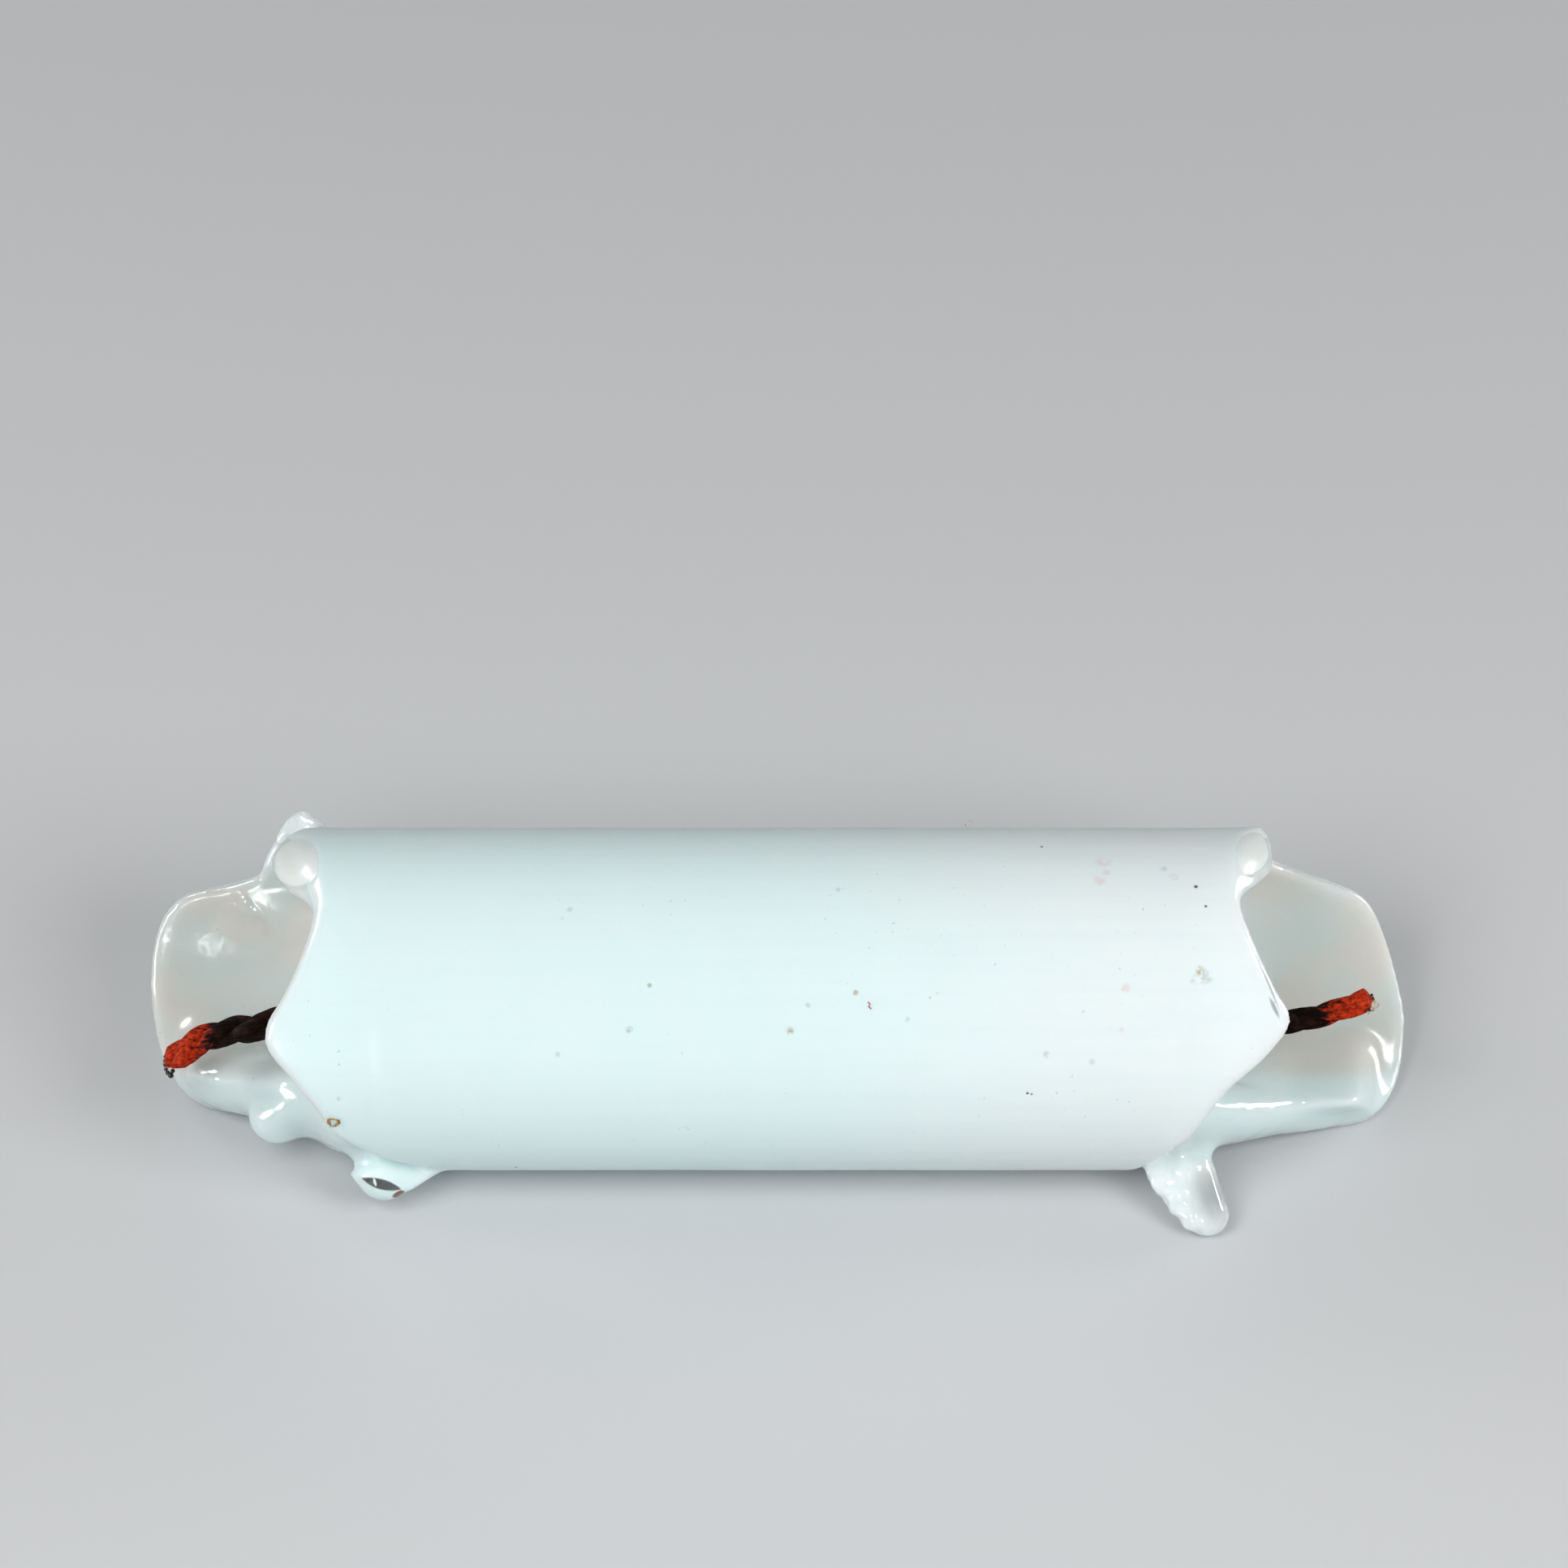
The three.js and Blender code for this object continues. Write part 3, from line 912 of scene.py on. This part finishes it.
@dataclass
class WaxBody:
    """The wax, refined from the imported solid: remeshed, rounded and rippled where it melted."""

    source: Object
    voxel_mm: float = 0.2
    smoothing: int = 5
    settling: int = 50
    fillet_mm: float = 0.8
    triangle_limit: int = 185_000
    noise: Noise = field(default_factory=lambda: Noise(SEED))

    # The crinkled streak's two ends, as X and Z
    CRINKLE = ((-35.2, 7.3), (-32.4, 3.6))
    # End, top and foot of each filled ledge as Z and Y, and the place along X where the foot recedes
    SWEEPS = (
        (End.LEFT, (-1.4, 8.5), (-4.8, 3.0), 36.2),
        (End.RIGHT, (-3.0, 7.6), (-6.6, 2.5), 33.4),
    )
    # Middle as X and Z, and reach
    BUBBLE = ((-25.8, -11.78), 0.26)
    # Middles and radii of balls
    LEAF = (
        ((-32.0, 4.7, 10.2), 0.42), ((-31.6, 4.6, 10.7), 0.50), ((-31.25, 4.3, 11.1), 0.58),
        ((-30.85, 3.9, 11.4), 0.60), ((-30.4, 3.4, 11.4), 0.60), ((-30.0, 2.9, 11.2), 0.52),
        ((-30.9, 3.9, 10.8), 0.55), ((-30.5, 3.2, 10.8), 0.55), ((-30.6, 3.6, 11.9), 0.34),
    )
    ROOTS = (((-31.4, 0.8, -6.6), 2.2), ((-24.6, 0.0, -11.0), 1.4), ((26.3, 0.0, -10.6), 1.6))

    def build(self) -> Object:
        """Makes the piece.

        Returns:
            The piece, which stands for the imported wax.
        """
        rounded = self._evaluated(self._with_leaf(self.source.data), self._even)
        self._swell(rounded, self.fillet_mm)
        rounded = self._evaluated(rounded, self._even)
        self._swell(rounded, -self.fillet_mm)
        self._fill_ledges(rounded)
        rounded = self._evaluated(rounded, self._round_off)
        rounded = self._evaluated(rounded, self._settle)
        self._ripple(rounded)
        count = sum(len(face.vertices) - 2 for face in rounded.polygons)
        ratio = min(1.0, self.triangle_limit / count)
        light = self._evaluated(rounded, lambda obj: self._thin_out(obj, ratio))
        light.shade_smooth()
        obj = linked("wax", light)
        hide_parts(self.source.name)
        return adopt(obj, WaxFinish().build())

    def _with_leaf(self, mesh: Mesh) -> Mesh:
        """Copy of a mesh with overlapping balls that thicken the leaf over the left lip.

        Args:
            mesh: The mesh to start from.

        Returns:
            The new mesh.
        """
        leaf = Shape()
        for place, radius in self.LEAF:
            leaf.ball(np.array(place), radius)
        first = len(mesh.vertices)
        faces = [tuple(face.vertices) for face in mesh.polygons]
        faces += [tuple(first + corner for corner in face) for face in leaf.faces]
        thick = bpy.data.meshes.new("leaf")
        thick.from_pydata(np.vstack([vertex_values(mesh, "co"), leaf.in_row()]).tolist(), [], faces)
        thick.update()
        return thick

    def _evaluated(self, mesh: Mesh, dress: Callable[[Object], None]) -> Mesh:
        """Mesh with modifiers applied.

        Args:
            mesh: The mesh to start from.
            dress: Function that adds the modifiers to an object.

        Returns:
            The new mesh.
        """
        helper = linked("helper", mesh)
        dress(helper)
        graph = bpy.context.evaluated_depsgraph_get()
        result = bpy.data.meshes.new_from_object(helper.evaluated_get(graph))
        bpy.data.objects.remove(helper)
        return result

    def _even(self, obj: Object) -> None:
        """Adds an even remesh.

        Args:
            obj: The object that gets the modifier.
        """
        remesh = obj.modifiers.new("even", "REMESH")
        remesh.mode = "VOXEL"
        remesh.voxel_size = self.voxel_mm * MM

    def _swell(self, mesh: Mesh, amount_mm: float) -> None:
        """Swells or shrinks the low side of both ends; swelling, then shrinking, fills creases.

        Args:
            mesh: The mesh to change.
            amount_mm: How far the surface moves outwards.
        """
        points = vertex_values(mesh, "co")
        place = POSE.to_candle(points)
        share = smoothstep(np.abs(place[:, 0]), 24.0, 26.0) * smoothstep(place[:, 2], 1.0, -2.0)
        share *= smoothstep(place[:, 2], -11.9, -11.3)
        moved = points + vertex_values(mesh, "normal") * (share * amount_mm * MM)[:, None]
        move_vertices(mesh, moved)

    def _fill_ledges(self, mesh: Mesh) -> None:
        """Fills the ledge behind each pool, so that the tongue runs down to the pool in one sweep.

        Args:
            mesh: The mesh to change.
        """
        points = vertex_values(mesh, "co")
        place = POSE.to_candle(points)
        radial = np.hypot(place[:, 1], place[:, 2])
        for end, (top, back), (low, tip_front), bend in self.SWEEPS:
            out = place[:, 0] * end.value
            share = smoothstep(out, 27.0, 28.5) * smoothstep(out, 39.0, 37.0) * smoothstep(radial, 10.7, 10.1)
            share *= smoothstep(place[:, 2], top + 1.5, top) * smoothstep(place[:, 2], low - 1.0, low)
            front = tip_front + 0.85 * np.minimum(out - bend, 0.0)
            limit = back + (place[:, 2] - top) * (front - back) / (low - top)
            over = 0.3 * np.logaddexp(0.0, (place[:, 1] - limit) / 0.3)
            place[:, 1] -= share * over
        move_vertices(mesh, POSE.to_row(place))

    def _round_off(self, obj: Object) -> None:
        """Adds an even remesh and a light smoothing.

        Args:
            obj: The object that gets the modifiers.
        """
        self._even(obj)
        smooth = obj.modifiers.new("soften", "SMOOTH")
        smooth.factor = 0.5
        smooth.iterations = self.smoothing

    def _settle(self, obj: Object) -> None:
        """Adds a strong smoothing where wax ran together inside the craters and at the drips' roots.

        Args:
            obj: The object that gets the modifier.
        """
        place = POSE.to_candle(vertex_values(obj.data, "co"))
        radial = np.hypot(place[:, 1], place[:, 2])
        weights = smoothstep(radial, 10.1, 9.4) * smoothstep(np.abs(place[:, 0]), 25.5, 27.0)
        for root, reach in self.ROOTS:
            gap = np.linalg.norm(place - root, axis=1)
            weights = np.maximum(weights, smoothstep(gap, reach, 0.5 * reach))
        group = obj.vertex_groups.new(name="settled")
        for level in range(1, 5):
            chosen = np.flatnonzero(np.round(weights * 4) == level)
            group.add(chosen.tolist(), level / 4, "REPLACE")
        smooth = obj.modifiers.new("settle", "SMOOTH")
        smooth.vertex_group = group.name
        smooth.factor = 0.5
        smooth.iterations = self.settling

    def _thin_out(self, obj: Object, ratio: float) -> None:
        """Adds a decimation.

        Args:
            obj: The object that gets the modifier.
            ratio: The share of triangles that stays.
        """
        thin = obj.modifiers.new("thin", "DECIMATE")
        thin.ratio = ratio

    def _ripple(self, mesh: Mesh) -> None:
        """Moves vertices along their normals: ripples, chips on the fin, lips, bubble and slight waves.

        Args:
            mesh: The mesh to change.
        """
        points = vertex_values(mesh, "co")
        normals = vertex_values(mesh, "normal")
        place = POSE.to_candle(points)
        moves = self._melt(place) + self._fin_chips(place) + self._lips(place) + self._bubble(place)
        moves += 0.012 * self.noise.at(place, 6.0)
        low = smoothstep(points[:, 2], 0.0, 1.5 * MM)
        moved = points + normals * (moves * low * MM)[:, None]
        move_vertices(mesh, moved)

    def _melt(self, place: np.ndarray) -> np.ndarray:
        """Height of the ripples and of the crinkled streak on melted wax.

        Args:
            place: Points in the candle's frame.

        Returns:
            Height at each point, in millimetres.
        """
        out = np.abs(place[:, 0])
        radial = np.hypot(place[:, 1], place[:, 2])
        hollow = smoothstep(out, 26.5, 28.0) * smoothstep(radial, 10.8, 9.8)
        melted = np.maximum(smoothstep(out, 30.0, 33.0), hollow)
        soft = 0.07 * self.noise.at(place + 40.0, 3.6) + 0.022 * self.noise.at(place + 90.0, 1.3)
        start, end = np.array(self.CRINKLE)
        along = np.clip((place[:, [0, 2]] - start) @ (end - start) / np.sum((end - start) ** 2), 0.0, 1.0)
        gap = np.linalg.norm(place[:, [0, 2]] - start - along[:, None] * (end - start), axis=1)
        near = smoothstep(gap, 0.75, 0.15) * (place[:, 1] > 0.0) * smoothstep(radial, 10.8, 9.8)
        return soft * melted + 0.12 * near * self.noise.at(place + 7.0, 0.7)

    def _fin_chips(self, place: np.ndarray) -> np.ndarray:
        """Height of the chips along the fin's broken edge.

        Args:
            place: Points in the candle's frame.

        Returns:
            Height at each point, in millimetres.
        """
        fin = smoothstep(place[:, 2], -11.2, -12.0) * smoothstep(place[:, 0], 22.0, 23.0)
        fin *= smoothstep(place[:, 0] + 0.5 * place[:, 2], 20.6, 19.0)
        return 0.16 * self.noise.at(place + 150.0, 0.55) * fin

    def _bubble(self, place: np.ndarray) -> np.ndarray:
        """Height of the small bubble under the clear lens of the lower drop.

        Args:
            place: Points in the candle's frame.

        Returns:
            Height at each point, in millimetres.
        """
        middle, reach = self.BUBBLE
        gap = np.linalg.norm(place[:, [0, 2]] - middle, axis=1)
        return 0.14 * smoothstep(gap, reach, 0.0) * (place[:, 1] < 0.0)

    def _lips(self, place: np.ndarray) -> np.ndarray:
        """Height of the two lips' rounded faces, each with a crease round it.

        Args:
            place: Points in the candle's frame.

        Returns:
            Height at each point, in millimetres.
        """
        height = np.zeros(len(place))
        for face in LIP_FACES:
            depth = face.depth(place)
            height += 0.14 * smoothstep(depth, 1.0, 0.5) - 0.08 * np.exp(-(((depth - 1.0) / 0.09) ** 2))
        return height


@dataclass
class Wick:
    """The wick's two charred ends: three twisted plies of fibres, with fuzz standing off them."""

    source: Object
    plies: int = 3
    pitch_mm: float = 6.8
    fibres: int = 30
    fibre_radius: float = 0.034
    hairs: int = 90
    steps: int = 76
    ply_sides: int = 12
    fibre_sides: int = 4
    noise: Noise = field(default_factory=lambda: Noise(SEED + 1))

    # Middle of the wick, with X counted outwards
    LINES = {
        End.LEFT: ((26.0, 0.0, 0.0), (29.0, 0.0, -0.1), (32.6, -0.1, -1.6), (35.8, -0.2, -2.2),
                   (37.6, -0.3, -3.0), (39.25, -0.4, -4.35)),
        End.RIGHT: ((26.0, 0.0, 0.0), (29.0, 0.0, -0.15), (32.5, 0.0, -1.4), (35.1, 0.1, -1.0),
                    (37.2, 0.2, -0.3), (38.35, 0.2, 0.05)),
    }
    SIZES = {End.LEFT: 0.93, End.RIGHT: 0.78}
    ROUND_OFF = {End.LEFT: 0.8, End.RIGHT: 0.3}
    HAIR_RADII = (0.014, 0.013, 0.011, 0.009, 0.006)

    def build(self) -> Object:
        """Makes the piece.

        Returns:
            The piece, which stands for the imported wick.
        """
        shape = Shape()
        rng = np.random.default_rng(SEED)
        for end in End:
            line = self._line(end)
            for ply in range(self.plies):
                self._ply(shape, end, line, 2 * math.pi * ply / self.plies, rng)
            self._fuzz(shape, end, line, rng)
        obj = shape.piece("wick_cord")
        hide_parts(self.source.name)
        return adopt(obj, WickFinish().build())

    def _line(self, end: End) -> np.ndarray:
        """Even points along one end's middle.

        Args:
            end: Which end.

        Returns:
            Array of points in the candle's frame, from the bore to the tip.
        """
        knots = np.array(self.LINES[end]) * (end.value, 1.0, 1.0)
        steps = np.linspace(0.0, len(knots) - 1.0, self.steps)
        padded = np.vstack([2 * knots[0] - knots[1], knots, 2 * knots[-1] - knots[-2]])
        line = []
        for step in steps:
            index = min(int(step), len(knots) - 2)
            share = step - index
            a, b, c, d = padded[index : index + 4]
            curve = 2 * b + (c - a) * share + (2 * a - 5 * b + 4 * c - d) * share**2
            line.append((curve + (3 * b - a - 3 * c + d) * share**3) / 2)
        return np.array(line)

    def _ply(self, shape: Shape, end: End, line: np.ndarray, start: float, rng: np.random.Generator) -> None:
        """Adds one ply and its fibres.

        Args:
            shape: What it is added to.
            end: Which end.
            line: Middle of the wick.
            start: Angle where the ply starts.
            rng: Source of random numbers.
        """
        size = self.SIZES[end]
        length, across, up = along_line(line)
        turn = start + end.value * 2 * math.pi * length / self.pitch_mm
        left = length[-1] - rng.uniform(0.0, 0.25) - length
        tip = np.sqrt(np.clip(left / self.ROUND_OFF[end], 0.0, 1.0))
        lay = 0.44 * size * (0.35 + 0.65 * tip)
        centre = line + lay[:, None] * (np.cos(turn)[:, None] * across + np.sin(turn)[:, None] * up)
        thick = 0.54 * size * (1.0 + 0.10 * self.noise.at(centre, 1.1)) * np.maximum(tip, 0.05)
        shape.tube(centre, thick, across, up, self.ply_sides)
        for strand in range(self.fibres):
            phase = 2 * math.pi * (strand + rng.uniform(-0.35, 0.35)) / self.fibres
            spin = phase - end.value * 2 * math.pi * length / (self.pitch_mm * rng.uniform(1.1, 1.6))
            lift = thick + 0.035 * self.noise.at(line + 10.0 * strand, 0.8)
            path = centre + lift[:, None] * (np.cos(spin)[:, None] * across + np.sin(spin)[:, None] * up)
            last = len(line) - int(rng.integers(0, 5))
            width = self.fibre_radius * rng.uniform(0.7, 1.5)
            radii = width * np.minimum(1.0, np.arange(last, 0, -1) / 4.0)
            shape.tube(path[:last], radii, across[:last], up[:last], self.fibre_sides)

    def _fuzz(self, shape: Shape, end: End, line: np.ndarray, rng: np.random.Generator) -> None:
        """Adds fine hairs that stand off the wick.

        Args:
            shape: What they are added to.
            end: Which end.
            line: Middle of the wick.
            rng: Source of random numbers.
        """
        _, across, up = along_line(line)
        tangent = np.cross(across, up)
        shares = np.linspace(0.0, 1.0, len(self.HAIR_RADII))[:, None]
        for _ in range(self.hairs):
            spot = int(rng.integers(len(line) // 3, len(line) - 3))
            angle = rng.uniform(0.0, 2 * math.pi)
            away = math.cos(angle) * across[spot] + math.sin(angle) * up[spot]
            lean = tangent[spot] * rng.uniform(-1.0, 1.0) + away * rng.uniform(0.2, 0.7)
            foot = line[spot] + away * self.SIZES[end] * 0.85
            reach = rng.uniform(0.12, 0.38)
            bend = away * rng.uniform(-0.5, 0.4)
            path = foot + reach * (shares * lean + shares**2 * bend)
            count = len(self.HAIR_RADII)
            shape.tube(path, np.array(self.HAIR_RADII), [across[spot]] * count, [up[spot]] * count, 3)


@dataclass(frozen=True)
class BeadFinish:
    """Glassy bead of soot-stained wax."""

    name: str
    colour: tuple[float, float, float]
    glass: float

    def build(self) -> Material:
        """Makes the material.

        Returns:
            The material.
        """
        shader = Shader(self.name)
        soot = shader.ramp(shader.noise(6.0, 2.0), 0.45, 0.65)
        shader.feed("Base Color", shader.mix(soot, self.colour, tuple(0.5 * part for part in self.colour)))
        shader.fix(Roughness=0.06, Transmission_Weight=self.glass, IOR=1.44)
        return shader.material


@dataclass
class Beads:
    """Small beads of wax and soot at the wick's tips.

    Each spot is a column and a row in the photograph and a radius in millimetres.
    """

    name: str
    finish: BeadFinish
    spots: tuple[Place, ...]
    depth: float

    def build(self) -> Object:
        """Makes the piece.

        Returns:
            The piece.
        """
        shape = Shape()
        for column, row, radius in self.spots:
            x = (column - CANDLE_PX[0]) / PX_PER_MM
            z = (CANDLE_PX[1] - row) / PX_PER_MM
            shape.ball(np.array((x, self.depth, z)), radius)
        return adopt(shape.piece(self.name), self.finish.build())


BEADS = (
    Beads("soot_beads", BeadFinish("soot", (0.03, 0.02, 0.015), 0.25), (
        (206.5, 1297.0, 0.13), (204.0, 1302.0, 0.13), (203.0, 1307.0, 0.12), (203.5, 1312.0, 0.14),
        (204.5, 1317.5, 0.13), (207.0, 1322.0, 0.16), (210.5, 1325.0, 0.19), (213.0, 1319.5, 0.15),
        (1690.0, 1226.0, 0.10), (1691.5, 1230.0, 0.09), (1687.5, 1244.5, 0.11),
    ), -0.35),
    Beads("clear_beads", BeadFinish("clear_bead", (0.88, 0.84, 0.74), 0.85), (
        (202.0, 1309.5, 0.08), (203.0, 1315.0, 0.08), (1694.0, 1238.0, 0.26), (1690.5, 1244.0, 0.14),
        (1686.0, 1247.5, 0.11),
    ), 0.1),
)


@dataclass(frozen=True)
class CrumbFinish:
    """Plain small matter: burnt wax, dyed thread or hair."""

    name: str
    colour: tuple[float, float, float]

    def build(self) -> Material:
        """Makes the material.

        Returns:
            The material.
        """
        shader = Shader(self.name)
        patches = shader.ramp(shader.noise(5.0, 3.0), 0.4, 0.65)
        shader.feed("Base Color", shader.mix(patches, self.colour, tuple(0.4 * part for part in self.colour)))
        shader.fix(Roughness=0.5)
        return shader.material


@dataclass
class Crumbs:
    """Small matter stuck to the candle's side: a ring of golden crumbs, a red thread and a pale hair."""

    wax: Object

    RING_PX = (412.5, 1381.5)
    RING_RADII_PX = (6.0, 4.3)
    RING_GRAINS = 15
    STRAND_SIDES = 6
    THREAD_PX = ((1069.0, 1233.5), (1071.5, 1236.0), (1070.0, 1239.5), (1073.0, 1242.0))
    HAIR_PX = ((1189.0, 1022.0), (1190.0, 1015.0), (1194.0, 1011.0), (1199.0, 1012.5))

    def build(self) -> list[Object]:
        """Makes the pieces.

        Returns:
            The pieces.
        """
        return [
            self._ring(),
            self._strand("red_thread", self.THREAD_PX, 0.045, (0.55, 0.10, 0.08)),
            self._strand("pale_hair", self.HAIR_PX, 0.03, (0.62, 0.60, 0.55)),
        ]

    def _ring(self) -> Object:
        """Ring of golden crumbs.

        Returns:
            The piece.
        """
        shape = Shape()
        for grain in range(self.RING_GRAINS):
            angle = 2 * math.pi * grain / self.RING_GRAINS
            reach = 1.0 + 0.16 * math.sin(3.0 * angle + 0.6)
            column = self.RING_PX[0] + reach * self.RING_RADII_PX[0] * math.cos(angle)
            row = self.RING_PX[1] - reach * self.RING_RADII_PX[1] * math.sin(angle)
            size = 0.085 + 0.03 * math.cos(2.0 * angle + 0.5)
            shape.ball(self._on_wax((column, row), 0.4 * size), size)
        finish = CrumbFinish("burnt_wax", (0.50, 0.29, 0.08))
        return adopt(shape.piece("golden_crumbs"), finish.build())

    def _on_wax(self, pixel: Pixel, lift: float) -> np.ndarray:
        """Point just above the wax that a pixel of the photograph shows.

        Args:
            pixel: Column and row in the photograph's own pixels.
            lift: Height above the wax, in millimetres.

        Returns:
            The point in the candle's frame.
        """
        matrix = POSE.matrix()
        guess = POSE.on_side(pixel)
        start = matrix @ Vector((guess.x, -30.0, guess.z))
        found, point, normal, _ = self.wax.ray_cast(start, POSE.direction((0.0, 1.0, 0.0)))
        if not found:
            return np.array(guess)
        return np.array(matrix.inverted() @ (point + normal * lift * MM))

    def _strand(self, name: str, pixels: tuple[Pixel, ...], radius: float, colour: Colour) -> Object:
        """Thin strand that lies on the side or stands up from it.

        Args:
            name: The piece's name.
            pixels: Its middle, as pixels of the photograph.
            radius: Its radius, in millimetres.
            colour: Its colour.

        Returns:
            The piece.
        """
        shape = Shape()
        path = np.array([self._on_wax(pixel, 0.5 * radius) for pixel in pixels])
        _, across, up = along_line(path)
        shape.tube(path, np.full(len(path), radius), across, up, self.STRAND_SIDES)
        return adopt(shape.piece(name), CrumbFinish(name, colour).build())


@dataclass(frozen=True)
class Lamp:
    """Round area light that faces the candle.

    Its place is in metres right, away from the camera and up in the photograph, from the candle's middle.
    """

    name: str
    place: Place
    diameter: float
    watts: float

    def build(self, middle: Vector) -> Object:
        """Makes the light.

        Args:
            middle: The candle's middle in the row frame.

        Returns:
            The light.
        """
        light = bpy.data.lights.new(self.name, "AREA")
        light.shape = "DISK"
        light.size = self.diameter
        light.energy = self.watts
        obj = linked(self.name, light)
        away = POSE.direction(self.place)
        obj.location = middle + away
        obj.rotation_euler = away.to_track_quat("Z", "Y").to_euler()
        return obj


@dataclass(frozen=True)
class Studio:
    """Pale floor, soft lights and the camera at the photograph's angle."""

    lens: float = 1000.0
    sensor: float = 36.0
    floor_half: float = 3.0
    floor_colour: Colour = (0.62, 0.63, 0.64)
    floor_roughness: float = 0.75
    sky_colour: Colour = (0.95, 0.98, 1.0)
    sky_strength: float = 0.18

    SOFT_LIGHTS = (
        Lamp("key", (-0.15, -0.40, 0.05), 0.22, 0.87),
        Lamp("fill", (0.24, -0.36, 0.03), 0.22, 0.85),
        Lamp("left_soft", (-0.39, -0.05, 0.12), 0.16, 0.30),
        Lamp("right_soft", (0.39, 0.03, 0.13), 0.16, 0.32),
    )
    SPARKS = (
        Lamp("left_top", (-0.25, -0.04, 0.30), 0.14, 1.45),
        Lamp("left_low", (-0.38, -0.12, -0.04), 0.12, 1.05),
        Lamp("right_side", (0.361, 0.066, 0.205), 0.12, 1.05),
        Lamp("right_low", (0.40, 0.06, 0.107), 0.07, 0.36),
        Lamp("top", (0.219, -0.229, 0.257), 0.09, 0.60),
        Lamp("low", (-0.13, -0.25, -0.19), 0.06, 0.36),
    )

    def build(self) -> None:
        """Makes the floor, the world, the lights and the camera."""
        self._floor()
        self._world()
        middle = Vector((0.0, POSE.axis_y, POSE.axis_z)) * MM
        for lamp in self.SOFT_LIGHTS:
            lamp.build(middle).visible_glossy = False
        for lamp in self.SPARKS:
            lamp.build(middle).visible_diffuse = False
        self._camera(middle)

    def _floor(self) -> None:
        """Makes the floor."""
        half = self.floor_half
        corners = np.array([(-half, -half, 0.0), (half, -half, 0.0), (half, half, 0.0), (-half, half, 0.0)])
        floor = mesh_object("floor", corners, [(0, 1, 2, 3)])
        material = bpy.data.materials.new("floor")
        material.use_nodes = True
        surface = material.node_tree.nodes["Principled BSDF"]
        surface.inputs["Base Color"].default_value = (*self.floor_colour, 1.0)
        surface.inputs["Roughness"].default_value = self.floor_roughness
        floor.data.materials.append(material)

    def _world(self) -> None:
        """Makes the even light from all round."""
        world = bpy.data.worlds.new("studio")
        bpy.context.scene.world = world
        world.use_nodes = True
        background = world.node_tree.nodes["Background"]
        background.inputs["Color"].default_value = (*self.sky_colour, 1.0)
        background.inputs["Strength"].default_value = self.sky_strength

    def _camera(self, middle: Vector) -> None:
        """Makes the camera, aimed so that the candle falls where the photograph has it.

        Args:
            middle: The candle's middle in the row frame.
        """
        camera = bpy.data.cameras.new("camera")
        camera.lens = self.lens
        camera.sensor_width = self.sensor
        obj = linked("camera", camera)
        aside = (IMAGE_PX / 2 - CANDLE_PX[0]) / PX_PER_MM * MM
        above = (CANDLE_PX[1] - IMAGE_PX / 2) / PX_PER_MM * MM
        away = IMAGE_PX / PX_PER_MM * MM * self.lens / self.sensor
        obj.location = middle + POSE.direction((aside, -away, above))
        obj.rotation_euler = POSE.direction((0.0, -1.0, 0.0)).to_track_quat("Z", "Y").to_euler()
        bpy.context.scene.camera = obj


def main() -> None:
    """Builds the scene."""
    logging.basicConfig(level=logging.INFO, format="%(name)s: %(message)s")
    bpy.context.scene.view_settings.view_transform = "Standard"
    wax = WaxBody(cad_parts["wax_body"]).build()
    Wick(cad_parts["wick"]).build()
    for beads in BEADS:
        beads.build()
    Crumbs(wax).build()
    Studio().build()


if __name__ == "__main__":
    main()
